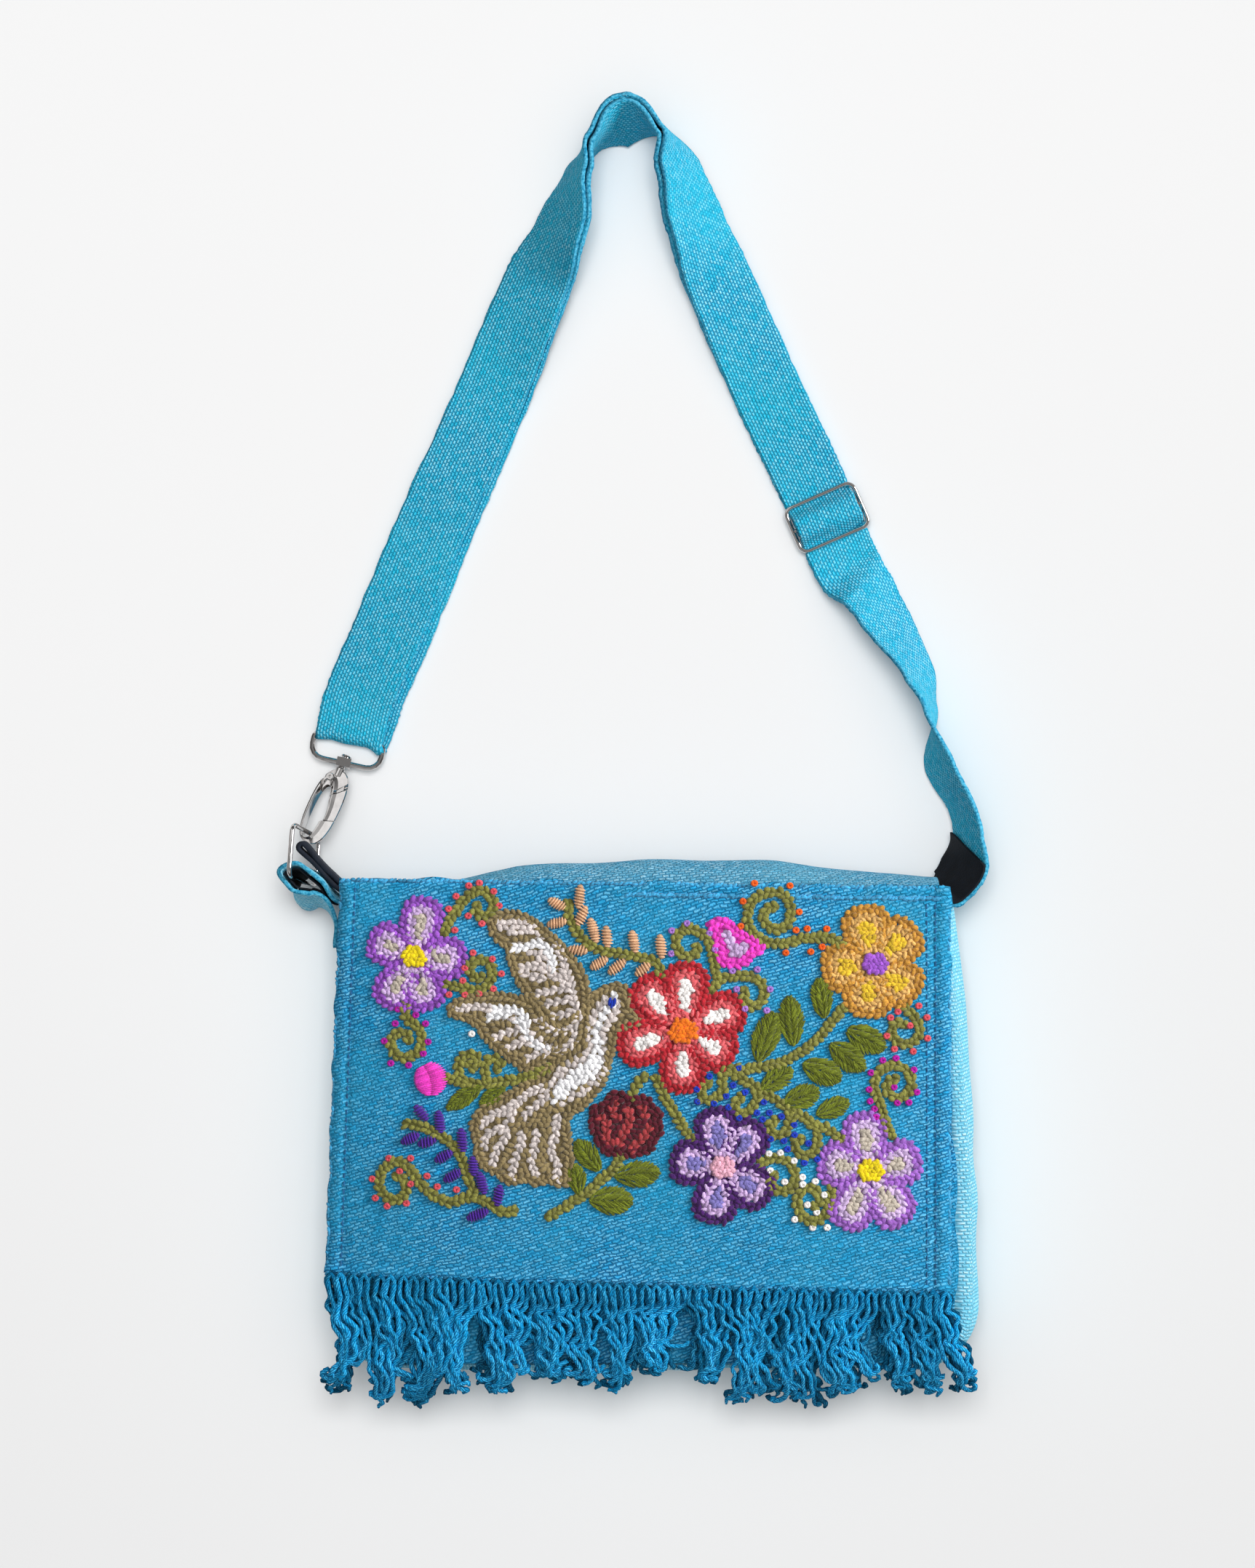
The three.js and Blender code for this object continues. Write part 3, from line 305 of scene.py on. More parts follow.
# A white studio ceiling over darker walls. In mirror images the camera and its stand are a dark patch
# overhead.
world = bpy.data.worlds.new("studio")
bpy.context.scene.world = world
world.use_nodes = True
room = world.node_tree
way = add(room, "ShaderNodeTexCoord").outputs["Generated"]
height = add(room, "ShaderNodeSeparateXYZ", {"Vector": way}).outputs["Z"]
ceiling = add(room, "ShaderNodeMapRange", {"Value": height, "From Min": 0.4, "From Max": 0.8,
                                           "To Min": 0.08, "To Max": 0.62},
              interpolation_type="SMOOTHSTEP")
stand = add(room, "ShaderNodeMapRange", {"Value": height, "From Min": 0.8, "From Max": 0.96,
                                         "To Min": 1.0, "To Max": 0.3},
            interpolation_type="SMOOTHSTEP")
mirrored = add(room, "ShaderNodeMath", {0: ceiling.outputs[0], 1: stand.outputs[0]},
               operation="MULTIPLY")
glossy = add(room, "ShaderNodeLightPath").outputs["Is Glossy Ray"]
glow = add(room, "ShaderNodeMix", {0: glossy, 2: ceiling.outputs[0], 3: mirrored.outputs[0]})
room.links.new(glow.outputs[0], room.nodes["Background"].inputs["Strength"])
room.nodes["Background"].inputs["Color"].default_value = linear("#fdfdfd")

# Making and finishing pieces


def finish(name, made, material, body, nodes=(), wall=0.0, side=-1.0, edge=None, soften=0.0,
           facets=None):
    """A bmesh or a mesh as a finished piece in metres, with an optional wall of some thickness, whose
    rim may have a material of its own and softened corners. Facets that meet at more than an angle
    stay crisp."""
    if isinstance(made, bmesh.types.BMesh):
        mesh = bpy.data.meshes.new(name)
        made.to_mesh(mesh)
        made.free()
    else:
        mesh = made
    mesh.transform(Matrix.Scale(MM, 4))
    mesh.shade_smooth()
    if facets:
        mesh.set_sharp_from_angle(angle=math.radians(facets))
    mesh.materials.append(material)
    piece = bpy.data.objects.new(name, mesh)
    bpy.context.scene.collection.objects.link(piece)
    if wall:
        thickness = piece.modifiers.new("wall", "SOLIDIFY")
        thickness.thickness, thickness.offset = wall * MM, side
        if edge:
            mesh.materials.append(edge)
            thickness.material_offset_rim = 1
    if soften:
        corners = piece.modifiers.new("soft_corners", "BEVEL")
        corners.width, corners.segments, corners.angle_limit = soften * MM, 3, math.radians(50)
    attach(piece, body)
    if nodes:
        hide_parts(*nodes)
    return piece


def lerp(a, b, t):
    return a + (b - a) * t


def smooth(t):
    t = np.clip(t, 0, 1)
    return t * t * (3 - 2 * t)


def cloth(columns, rows, place):
    """A grid of cloth. place turns arrays of across and along, from 0 to 1, into points and into
    places on the cloth, for the UV map that the weave follows."""
    made = bmesh.new()
    bmesh.ops.create_grid(made, x_segments=columns, y_segments=rows, size=0.5)
    made.verts.index_update()
    flat = np.array([vert.co[:2] for vert in made.verts]) + 0.5
    points, weave = place(flat[:, 0], flat[:, 1])
    layer = made.loops.layers.uv.new("weave")
    for vert, point in zip(made.verts, points):
        vert.co = point
    for face in made.faces:
        for loop in face.loops:
            loop[layer].uv = weave[loop.vert.index]
    return made


def curve_through(points):
    """A centripetal curve. What it returns takes a row number, which may lie between two rows."""
    points = np.asarray(points, float)
    rows = np.vstack([2 * points[0] - points[1], points, 2 * points[-1] - points[-2]])

    def at(row):
        row = min(max(row, 0), len(points) - 1)
        below = min(int(row), len(points) - 2)
        t = row - below
        a, b, c, d = rows[below:below + 4]
        e, f, g = (np.sum((q - p) ** 2) ** 0.25 for p, q in ((a, b), (b, c), (c, d)))
        start = ((b - a) / e - (c - a) / (e + f) + (c - b) / f) * f
        stop = ((c - b) / f - (d - b) / (f + g) + (d - c) / g) * f
        return (b + start * t + (3 * (c - b) - 2 * start - stop) * t ** 2
                + (2 * (b - c) + start + stop) * t ** 3)

    return at


def unit(vector):
    return vector / np.linalg.norm(vector)


def lengths_along(points):
    """How far along a line each of its points is."""
    return np.concatenate([[0], np.cumsum(np.linalg.norm(np.diff(points, axis=0), axis=1))])


def placed(made, matrix):
    """A bmesh moved to its place."""
    bmesh.ops.transform(made, matrix=matrix, verts=made.verts)
    return made


def bridged(made, rings):
    """A bmesh with faces between its rings of vertices and a cap at both ends."""
    size = len(rings[0])
    for near, far in zip(rings, rings[1:]):
        for i in range(size):
            made.faces.new((near[i], near[(i + 1) % size], far[(i + 1) % size], far[i]))
    made.faces.new(rings[0][::-1])
    made.faces.new(rings[-1])
    return made


def heading(curve, row):
    """The direction that a curve runs in at a row."""
    step = 1e-3
    return unit(curve(row + step) - curve(row - step))


def ribbon(sections, columns, bow=0.0, ragged=0.0, wave=None):
    """A strip through sections of (centre, side, face, width). bow cups it across its width,
    ragged is how far its edges wander, and wave gives a further move at each place."""
    centres, sides, faces = (np.array([section[i] for section in sections]) for i in range(3))
    widths = np.array([section[3] for section in sections])
    length = lengths_along(centres)
    edges = ragged * chance.uniform(-1, 1, (2, len(sections)))

    def place(across, along):
        row = np.rint(along * (len(sections) - 1)).astype(int)
        offset = (across - 0.5) * widths[row]
        offset = (offset + np.where(across > 0.99, edges[0, row], 0)
                  + np.where(across < 0.01, edges[1, row], 0))
        lift = bow * (1 - (2 * across - 1) ** 2)
        points = centres[row] + sides[row] * offset[:, None] + faces[row] * lift[:, None]
        if wave:
            points = points + wave(across, centres[row])
        return points, np.column_stack([offset, length[row]])

    return cloth(columns, len(sections) - 1, place)


UP = np.array([0.0, 0.0, 1.0])

# Body of the bag


def spread(y):
    return 1 - np.minimum(1, (np.maximum(y, WIDEST_Y) - WIDEST_Y) / (MOUTH_Y - WIDEST_Y)) ** 2


def seam_x(side, y):
    return side * (SEAM_HALF_WIDTH + spread(y) * (LEFT_SPREAD if side < 0 else RIGHT_SPREAD))


def outline_x(side, y):
    into = np.maximum(0, BOTTOM_Y + CORNER_RADIUS - y)
    inset = CORNER_RADIUS - np.sqrt(np.maximum(0, CORNER_RADIUS ** 2 - into ** 2))
    return seam_x(side, y) - side * inset


def front_z(x, y):
    """Height of the front's outer face."""
    left, right = seam_x(-1, y), seam_x(1, y)
    u = np.clip((2 * x - left - right) / (right - left), -1, 1)
    up = np.clip((y - BOTTOM_Y) / (MOUTH_Y - BOTTOM_Y), 0, 1)
    swell = FRONT_SWELL * (1 - u ** 4) * (1 - (2 * up - 1) ** 4)
    return lerp(DEPTH_AT_BOTTOM, DEPTH_AT_MOUTH, up) + swell


def front_panel():
    def place(across, along):
        y = lerp(BOTTOM_Y, MOUTH_Y, along ** 1.5)
        x = lerp(outline_x(-1, y), outline_x(1, y), across)
        # The seam allowance lies folded under the edge and shows as a soft ridge.
        edge = np.minimum(np.abs(x - outline_x(1, y)), np.abs(x - outline_x(-1, y)))
        ridge = 0.9 * np.exp(-((edge - 3.5) / 1.8) ** 2) - 0.7 * np.exp(-((edge - 7.0) / 1.2) ** 2)
        ripple = 0.35 * np.sin(y / 7 + np.sin(x / 9))
        z = front_z(x, y) - 0.3 + np.minimum(ridge + ripple, 0.3)
        return np.column_stack([x, y, z]), np.column_stack([x, y])

    return cloth(90, 90, place)


def back_panel():
    """The back lies flat, then turns up and over the mouth and ends under the flap."""
    flat_share = 0.5
    left_end, right_end = CORNER_OPENING - SEAM_HALF_WIDTH, SEAM_HALF_WIDTH + 1.5
    turn_length = 60.0  # of cloth, for its weave

    def place(across, along):
        flat_y = lerp(BOTTOM_Y, TURN_START_Y, np.minimum(1, along / flat_share) ** 1.5)
        flat_x = lerp(outline_x(1, flat_y), outline_x(-1, flat_y), across)
        x = lerp(right_end, left_end, across)
        reach = (np.interp(x, *zip(*TURN_EDGE)) - 0.25 * TURN_START_Y) / 0.75
        t = np.clip((along - flat_share) / (1 - flat_share), 0, 1)
        y = (1 - t) ** 3 * TURN_START_Y + 3 * t * (1 - t) * reach + t ** 3 * TURN_END_Y
        z = smooth(t) * DEPTH_AT_MOUTH
        wave = 0.5 * np.sin(x / 9 + 1) * np.sin(math.pi * t)
        turned = along > flat_share
        points = np.column_stack([np.where(turned, x, flat_x), np.where(turned, y + wave, flat_y),
                                  np.where(turned, z, 0)])
        return points, np.column_stack([-points[:, 0], flat_y + t * turn_length])

    return cloth(90, 110, place)


def seam_path():
    """Points along the seam, from the mouth's left end, round the bottom, to its right end."""
    corner_y = BOTTOM_Y + CORNER_RADIUS
    sides = np.linspace(MOUTH_Y, corner_y, 40)
    turn = np.linspace(0, math.pi / 2, 16)
    left = np.column_stack([seam_x(-1, sides), sides])
    left_corner = np.column_stack([seam_x(-1, corner_y) + CORNER_RADIUS * (1 - np.cos(turn)),
                                   corner_y - CORNER_RADIUS * np.sin(turn)])
    right_corner = np.column_stack([seam_x(1, corner_y) - CORNER_RADIUS * (1 - np.cos(turn[::-1])),
                                    corner_y - CORNER_RADIUS * np.sin(turn[::-1])])
    right = np.column_stack([seam_x(1, sides[::-1]), sides[::-1]])
    return np.vstack([left, left_corner[1:], right_corner, right[1:]])


LAP_START = 0.62  # share of the strip's width below the seam
LAP_ALONG, LAP_OUT, LAP_UP = (0, 0.2, 0.4, 0.7, 1), (0, 0.8, -0.8, -5, -10.5), (0, 2.0, 3.4, 3.5, 1.4)


def gusset():
    path = seam_path()
    length = lengths_along(path)

    def place(around, up):
        at = around * length[-1]
        x, y = np.interp(at, length, path[:, 0]), np.interp(at, length, path[:, 1])
        run_x = np.interp(at + 1, length, path[:, 0]) - np.interp(at - 1, length, path[:, 0])
        run_y = np.interp(at + 1, length, path[:, 1]) - np.interp(at - 1, length, path[:, 1])
        size = np.hypot(run_x, run_y)
        rise = np.minimum(1, up / LAP_START)
        fold = 0.7 * np.sin(at / 11 + 2 * np.sin(at / 31)) * np.sin(math.pi * rise)
        # It stands out a little more at the right end of the mouth.
        slack = np.where(x > 0, 2.2 * smooth(y / 60), 0)
        swell = (GUSSET_SWELL + slack) * np.sin(math.pi * rise) + CLOTH / 2 + fold + 0.4 * slack
        z = lerp(CLOTH + SEAM_GAP, front_z(x, y) - CLOTH - SEAM_GAP, rise)
        # Past the seam it laps over the front's sides, and hardly over the bottom.
        lap = np.maximum(0, up - LAP_START) / (1 - LAP_START)
        share = lerp(0.15, 1.0, np.abs(run_y) / size)
        out = swell + share * np.interp(lap, LAP_ALONG, LAP_OUT)
        z = z + share * np.interp(lap, LAP_ALONG, LAP_UP)
        points = np.column_stack([x + run_y / size * out, y - run_x / size * out, z])
        return points, np.column_stack([at, z + 12 * lap])

    return cloth(260, 26, place)


# Flap


def flap_point(across, along):
    left = [lerp(a, b, along) for a, b in zip(FLAP_BOTTOM_LEFT, FLAP_TOP_LEFT)]
    right = [lerp(a, b, along) for a, b in zip(FLAP_BOTTOM_RIGHT, FLAP_TOP_RIGHT)]
    return lerp(left[0], right[0], across), lerp(left[1], right[1], across)


def flap_top(x, y):
    """Height of the flap's upper face, with the slow waves of soft cloth."""
    waves = 0.5 * np.sin(x / 23 + 1.3 * np.sin(y / 37)) + 0.35 * np.sin(y / 17 + x / 41)
    return front_z(x, y) + FLAP_REST + FLAP_THICKNESS + waves


def flap():
    width = FLAP_TOP_RIGHT[0] - FLAP_TOP_LEFT[0]
    height = FLAP_TOP_LEFT[1] - FLAP_BOTTOM_LEFT[1]

    def place(across, along):
        x, y = flap_point(across, along)
        z = flap_top(x, y)
        left, right = across * width, (1 - across) * width
        low, high = along * height, (1 - along) * height
        for edge, line, rise in ((left, HEM, 1.0), (right, HEM, 1.0), (low, 5.0, 0.8),
                                 (high, 6.0, 0.7 * smooth((across - 0.45) / 0.1))):
            z = z + rise * (1 - smooth((edge - line + 1.5) / 1.5))
            z = z - 0.9 * rise * np.exp(-((edge - line) / 0.8) ** 2)
        # The edge rolls over, and hangs a little where it passes the body.
        edge = np.minimum(np.minimum(left, right), np.minimum(low, high))
        z = z - 1.5 * (1 - smooth(edge / 2.5))
        past = np.maximum(seam_x(-1, y) + 4 - x, 0)
        z = z - 0.012 * past ** 2
        by_side, by_end = (1 - smooth(np.minimum(*pair) / 20) for pair in ((left, right), (low, high)))
        uneven = by_side * (0.45 * np.sin(y / 5.1) + 0.35 * np.sin(y / 2.3))
        ragged = by_end * (0.6 * np.sin(x / 4.3) + 0.5 * np.sin(x / 9))
        return np.column_stack([x + uneven, y + ragged, z]), np.column_stack([x, y])

    return cloth(200, 134, place)


# Strap

STRAP_WIDTH, STRAP_THICKNESS, LAYER_STEP, LAYER_SLACK = 34.0, 2.0, 2.4, 1.0
STRAP_AT_RING, STRAP_IN_SLIDER = 33.5, 32.5
WIRE, SLIDER_LENGTH, SLIDER_INNER_WIDTH, SLIDER_Z, SLIDER_CORNER = 2.2, 23.0, 34.0, 5.7, 4.0
RING_WIRE = 2.8
SLIDER_ROW = 16
UNDER_SHIFT, UNDER_SHIFT_TO_ROW = 4.6, 6
# x, y, lean, and where they differ from 0 and from the strap's own width, rise and width: lean 180 lies
# flat with the outer face up, and 90 stands on edge.
STRAP_ROUTE = [(*row, *(0, STRAP_WIDTH)[len(row) - 3:]) for row in (
    (-144.9, 184, 180, 0, STRAP_AT_RING), (-140.6, 203.5, 180), (-128.2, 232.8, 180), (-104.2, 290.2, 180),
    (-78.2, 347.4, 180), (-53.5, 405.5, 162), (-40.5, 434, 134), (-31.9, 461.5, 107), (-25.2, 475.5, 88),
    (-9.5, 487, 60), (9.3, 481, 98), (17, 463.5, 125), (24.8, 438.5, 143), (39.2, 404, 167),
    (64.5, 348, 180), (78.3, 319.5, 180), (90.4, 293, 180, 0, STRAP_IN_SLIDER), (100.8, 268.5, 168),
    (109.4, 257.9, 145), (116.2, 247, 137), (134, 218, 119), (140.2, 199, 104), (145, 170, 72, 1.5),
    (155.5, 150, 75, 3.5), (158.5, 136, 73, 4.5), (157, 121, 57, 4), (149.8, 110.8, 58, 3.5, 32),
    (141, 106.8, 84, 4, 30), (134, 98, 90, 4, 30),
)]
strap_line = curve_through([(x, y, 0) for x, y, *_ in STRAP_ROUTE])


def layer_step(row):
    """How far apart the strap's two layers are: they lie loose round its top bend."""
    return LAYER_STEP + LAYER_SLACK * smooth((row - 2) / 3) * smooth((14.5 - row) / 2)


def strap_frame(row):
    """(centre, side, face, width, run) of the strap at a row number."""
    last = len(STRAP_ROUTE) - 1
    below = min(int(row), last - 1)
    lean, rise, width = (lerp(STRAP_ROUTE[below][i], STRAP_ROUTE[below + 1][i], smooth(row - below))
                         for i in (2, 3, 4))
    run = heading(strap_line, row)
    outward = np.cross(UP, run)
    turn = math.radians(lean)
    side = outward * math.cos(turn) + UP * math.sin(turn)
    face = outward * math.sin(turn) - UP * math.cos(turn)
    stack = layer_step(row) + STRAP_THICKNESS if row < SLIDER_ROW else STRAP_THICKNESS
    centre = strap_line(row)
    centre[2] = width / 2 * math.sin(turn) + stack / 2 * abs(math.cos(turn)) + rise
    return centre, side, face, width, run


slider_centre, slider_side, _, _, slider_run = strap_frame(SLIDER_ROW)
wrap_radius = WIRE / 2 + 0.2 + STRAP_THICKNESS / 2
ring_bar_z = STRAP_THICKNESS + 0.3 + RING_WIRE / 2
fold_radius = RING_WIRE / 2 + 0.2 + STRAP_THICKNESS / 2


def strap_under(row):
    """The layer under the doubled strap, which ends wrapped round the slider's middle bar."""
    centre, side, face, width, _ = strap_frame(row)
    shift = UNDER_SHIFT * smooth((row + 0.8) / 1.6) * smooth((UNDER_SHIFT_TO_ROW - row) / 4)
    centre = centre - face * layer_step(row) / 2 + side * shift
    if row > SLIDER_ROW - 1:
        along = np.dot(centre - slider_centre, slider_run)
        centre[2] += smooth((along + 9) / 9) * (SLIDER_Z - wrap_radius - STRAP_THICKNESS / 2)
    return centre, side, face, width


def strap_over(row):
    """The layer on top, under the slider's outer bars and over its middle one, then single."""
    centre, side, face, width, _ = strap_frame(row)
    along = abs(np.dot(centre - slider_centre, slider_run))
    if row < SLIDER_ROW:
        centre = centre + face * layer_step(row) / 2
        over_ring = ring_bar_z + fold_radius - STRAP_THICKNESS / 2 - LAYER_STEP
        from_ring = math.dist(centre[:2], STRAP_ROUTE[0][:2])
        centre[2] += over_ring * smooth(1 - from_ring / 20)
    if abs(row - SLIDER_ROW) < 1:
        over_bar = SLIDER_Z + wrap_radius + STRAP_THICKNESS + 0.2
        centre[2] = lerp(centre[2], over_bar, smooth(1 - (along - 2.5) / (SLIDER_LENGTH / 2 - 4)))
    return centre, side, -face, width


def wrapped(bar, run, side, radius, width, start, stop, steps):
    """Sections of the strap round a bar."""
    sections = []
    for angle in np.radians(np.linspace(start, stop, steps)):
        out = run * math.cos(angle) + UP * math.sin(angle)
        sections.append((bar + out * radius, side, -out, width))
    return sections


def strap_sections():
    ring_centre, ring_side, _, _, ring_run = strap_frame(0)
    middle_bar = np.array([*slider_centre[:2], SLIDER_Z])
    ring_bar = np.array([*ring_centre[:2], ring_bar_z])
    last = len(STRAP_ROUTE) - 1
    under = [strap_under(row) for row in np.linspace(SLIDER_ROW - 0.06, 0.12, 260)]
    over = [strap_over(row) for row in np.linspace(0.12, SLIDER_ROW - 0.7, 240)]
    over += [strap_over(row) for row in np.linspace(SLIDER_ROW - 0.66, SLIDER_ROW + 0.66, 44)]
    over += [strap_over(row) for row in np.linspace(SLIDER_ROW + 0.7, last, 150)]
    around = wrapped(middle_bar, slider_run, slider_side, wrap_radius, STRAP_IN_SLIDER,
                     start=130, stop=-90, steps=12)
    fold = wrapped(ring_bar, ring_run, ring_side, fold_radius, STRAP_AT_RING,
                   start=270, stop=90, steps=10)
    # The fold goes from the shifted lower layer to the upper one.
    shift = UNDER_SHIFT * smooth(0.5)
    fold = [(centre + side * shift * (1 - i / 9), side, face, width)
            for i, (centre, side, face, width) in enumerate(fold)]
    return around + under + fold + over


FOLD_WAVE_ACROSS = (0, 0.2, 0.4, 0.56, 0.75, 0.86, 0.93, 1)
FOLD_WAVE_UP = (0, 1.5, 0.7, 1.1, 1.4, 0, -2.2, 0)


def fold_wave(across, centre):
    """The uneven edge of the fold round the ring."""
    ring_centre, _, _, _, ring_run = strap_frame(0)
    near = np.exp(-(np.linalg.norm(centre - [*ring_centre[:2], ring_bar_z], axis=1) / 7) ** 2)
    up = np.interp(across, FOLD_WAVE_ACROSS, FOLD_WAVE_UP)
    return ring_run * (up * near)[:, None]


PATCH_START_ROWS, PATCH_END_ROW = (23.8, 24.8), 26.5  # on the strap's route; it starts at a slant
PATCH_OFF, PATCH_SHIFT = STRAP_THICKNESS / 2 + 0.8 + 0.6, 0.9


def strap_patch():
    """Leather on the strap's inner face, cut at a slant along its upper end."""

    def place(across, along):
        points = []
        for share, far in zip(across, along):
            row = lerp(lerp(*PATCH_START_ROWS, share), PATCH_END_ROW, far)
            centre, side, face, width, _ = strap_frame(row)
            points.append(centre - face * PATCH_OFF + side * ((share - 0.5) * width + PATCH_SHIFT))
        return np.array(points), np.column_stack([across, along])

    return cloth(10, 36, place)


# Left tab

TAB_WIDTH, TAB_THICKNESS = 27.0, 2.0
# x, y, z, upright, tilt: upright is 1 where the width stands up, and 0 where it follows the ring's bar;
# tilt leans the width towards the loop's inside.
TAB_LOOP = [
    (-149.6, 84, 21, 1, 0), (-150.8, 96, 22.5, 0.95, 0.12), (-156, 103.2, 24, 0.7, 0.22),
    (-164.6, 105.6, 25.5, 0.35, 0.3), (-170.6, 110.6, 26, 0.1, 0.15), (-172.2, 117.6, 25.2, 0, 0),
    (-165.4, 120.6, 26.2, 0, 0), (-156.5, 115.6, 26.5, 0.25, 0), (-149.5, 107.6, 22, 0.9, 0),
    (-141.5, 104.4, 19.5, 1, 0), (-136, 97, 19.5, 1, 0),
]
TAB_RING_CORNER_POINT = np.array([-169.7, 142.4, 38.0])
TAB_RING_BAR = np.array([9.8, -7.2, -32.0])
TAB_RING_SIDE = np.array([-1.4, -24.5, 5.1])
TAB_RING_WIRE, TAB_RING_CORNER = 2.5, 4.0
tab_line = curve_through([row[:3] for row in TAB_LOOP])


def tab_sections(inward, width, start, stop, steps):
    last = len(TAB_LOOP) - 1
    sections = []
    for row in np.linspace(start, stop, steps):
        below = min(int(row), last - 1)
        upright, tilt = (lerp(TAB_LOOP[below][i], TAB_LOOP[below + 1][i], smooth(row - below))
                         for i in (3, 4))
        run = heading(tab_line, row)
        side = unit(lerp(-unit(TAB_RING_BAR), UP, upright))
        side = unit(side - run * np.dot(side, run))
        side = unit(side + np.cross(run, side) * tilt)
        face = np.cross(run, side)
        sections.append((tab_line(row) + face * inward, side, face, width))
    return sections


KEEPER_WIDTH, KEEPER_STEP, KEEPER_Z = 13.0, 2.9, 26.0
KEEPER_BULB = 0.25  # share by which its end is wider and its neck narrower
KEEPER_ROUTE = [(-140, 109), (-146.5, 111.6), (-153, 117.5), (-160.5, 125.5), (-165.8, 131)]


def keeper_sections():
    line = curve_through([(x, y, KEEPER_Z) for x, y in KEEPER_ROUTE])
    last = len(KEEPER_ROUTE) - 1
    sections = []
    for way in (1, -1):
        rows = np.linspace(0, last, 24)[::way]
        for row in rows:
            left = np.cross(UP, heading(line, row))
            # Its end is a bulb, over a narrower neck.
            bulb, neck = KEEPER_BULB * smooth(row - 3), KEEPER_BULB * math.exp(-((row - 2.6) / 0.6) ** 2)
            half = KEEPER_STEP / 2 * (1 + bulb - neck)
            sections.append((line(row) + left * way * half, UP, -left * way, KEEPER_WIDTH))
        if way > 0:
            left, run = np.cross(UP, heading(line, last)), heading(line, last)
            half = KEEPER_STEP / 2 * (1 + KEEPER_BULB)
            for angle in np.linspace(0, math.pi, 9)[1:-1]:
                out = left * math.cos(angle) + run * math.sin(angle)
                sections.append((line(last) + out * half, UP, -out, KEEPER_WIDTH))
    return sections


# Wire fittings


def wire(points, thickness, closed=True):
    """A round wire bent along points, as a bmesh."""
    data = bpy.data.curves.new("wire", "CURVE")
    data.dimensions = "3D"
    data.bevel_depth, data.bevel_resolution, data.use_fill_caps = thickness / 2, 3, True
    line = data.splines.new("POLY")
    line.points.add(len(points) - 1)
    for point, at in zip(line.points, points):
        point.co = (*at, 1)
    line.use_cyclic_u = closed
    bent = bpy.data.objects.new("wire", data)
    mesh = bpy.data.meshes.new_from_object(bent)
    made = bmesh.new()
    made.from_mesh(mesh)
    bpy.data.objects.remove(bent)
    bpy.data.meshes.remove(mesh)
    return made


def rounded_rectangle(width, height, radius, steps=8):
    points = []
    for corner in range(4):
        cx = (1 if corner in (0, 3) else -1) * (width / 2 - radius)
        cy = (1 if corner < 2 else -1) * (height / 2 - radius)
        for angle in np.linspace(corner, corner + 1, steps) * math.pi / 2:
            points.append((cx + radius * math.cos(angle), cy + radius * math.sin(angle), 0))
    return points


def frame_matrix(origin, right, up):
    """Moves a fitting made round its own axes to its place."""
    up = unit(np.asarray(up, float))
    towards = unit(np.cross(np.asarray(right, float), up))
    right = np.cross(up, towards)
    turn = Matrix((right, up, towards)).transposed().to_4x4()
    return Matrix.Translation(Vector(origin)) @ turn


def joined(parts):
    """Several bmeshes as one."""
    whole = bmesh.new()
    for part in parts:
        mesh = bpy.data.meshes.new("part")
        part.to_mesh(mesh)
        part.free()
        whole.from_mesh(mesh)
        bpy.data.meshes.remove(mesh)
    return whole


def slider():
    width = SLIDER_INNER_WIDTH + WIRE
    outline = wire(rounded_rectangle(width, SLIDER_LENGTH, SLIDER_CORNER), WIRE)
    bar = wire([(-width / 2, 0, 0), (0, 0, 0), (width / 2, 0, 0)], WIRE, closed=False)
    place = frame_matrix((*slider_centre[:2], SLIDER_Z), slider_side, slider_run)
    return placed(joined([outline, bar]), place)


def tab_ring():
    width, height = np.linalg.norm(TAB_RING_BAR), np.linalg.norm(TAB_RING_SIDE)
    made = wire(rounded_rectangle(width, height, TAB_RING_CORNER), TAB_RING_WIRE)
    centre = TAB_RING_CORNER_POINT + TAB_RING_BAR / 2 + TAB_RING_SIDE / 2
    return placed(made, frame_matrix(centre, TAB_RING_BAR, -TAB_RING_SIDE))


# Swivel hook, in a frame whose Y axis is the swivel's

HOOK_AT = (-147.56302, 171.99676, 6.22402)
HOOK_RIGHT, HOOK_UP = (0.89085, -0.30075, 0.34049), (0.39172, 0.88812, -0.24041)
HOOK_PLACE = frame_matrix(HOOK_AT, HOOK_RIGHT, HOOK_UP)
# middle, half width and half height of the hook's outline and of its eye
HOOK_OUTER, HOOK_EYE = (0.6, -24.2, 8.4, 20.0), (-1.9, -27.0, 3.3, 13.8)
HOOK_SQUARENESS = 2.5
GATE_SPAN = (-10.3, 30.6)  # degrees round the outline
GATE_SEAM = 1.2
# degrees round the outline, half width, share of the limb's width that stays: slots for the spring
NOTCHES = [(139.0, 5.0, 0.0), (37.0, 3.0, 0.4)]
# share of the limb's width from the eye out, height: the right limb has a ridge near the eye and
# the left one a wall that slopes down into it
RIGHT_LIMB = [(0, -0.4), (0.02, 0.9), (0.06, 1.4), (0.2, 2.5), (0.25, 2.5), (0.44, 1.3), (0.96, 0.9),
              (1, 0.3), (0.9, -1.4), (0.5, -2), (0.1, -1.8), (0, -1.2)]
LEFT_LIMB = [(0, -1.2), (0.05, -0.9), (0.42, 1.4), (0.47, 1.8), (0.53, 2.0), (0.7, 2.1), (0.93, 1.9),
             (1, 1.3), (1, -0.6), (0.6, -2), (0.2, -2), (0, -1.6)]
PIVOT = (-2.5, -9.2)
SEAM_SLANT = -5.5  # degrees that the gate's lower seam turns along the gate's swing
GATE_THIN = 0.2  # share of the limb's width that the gate's lower end leaves free
GROOVE_DEPTH, GROOVE_HALF, GROOVE_END = 0.8, 1.0, 138.0  # the body's slot for the gate's tongue
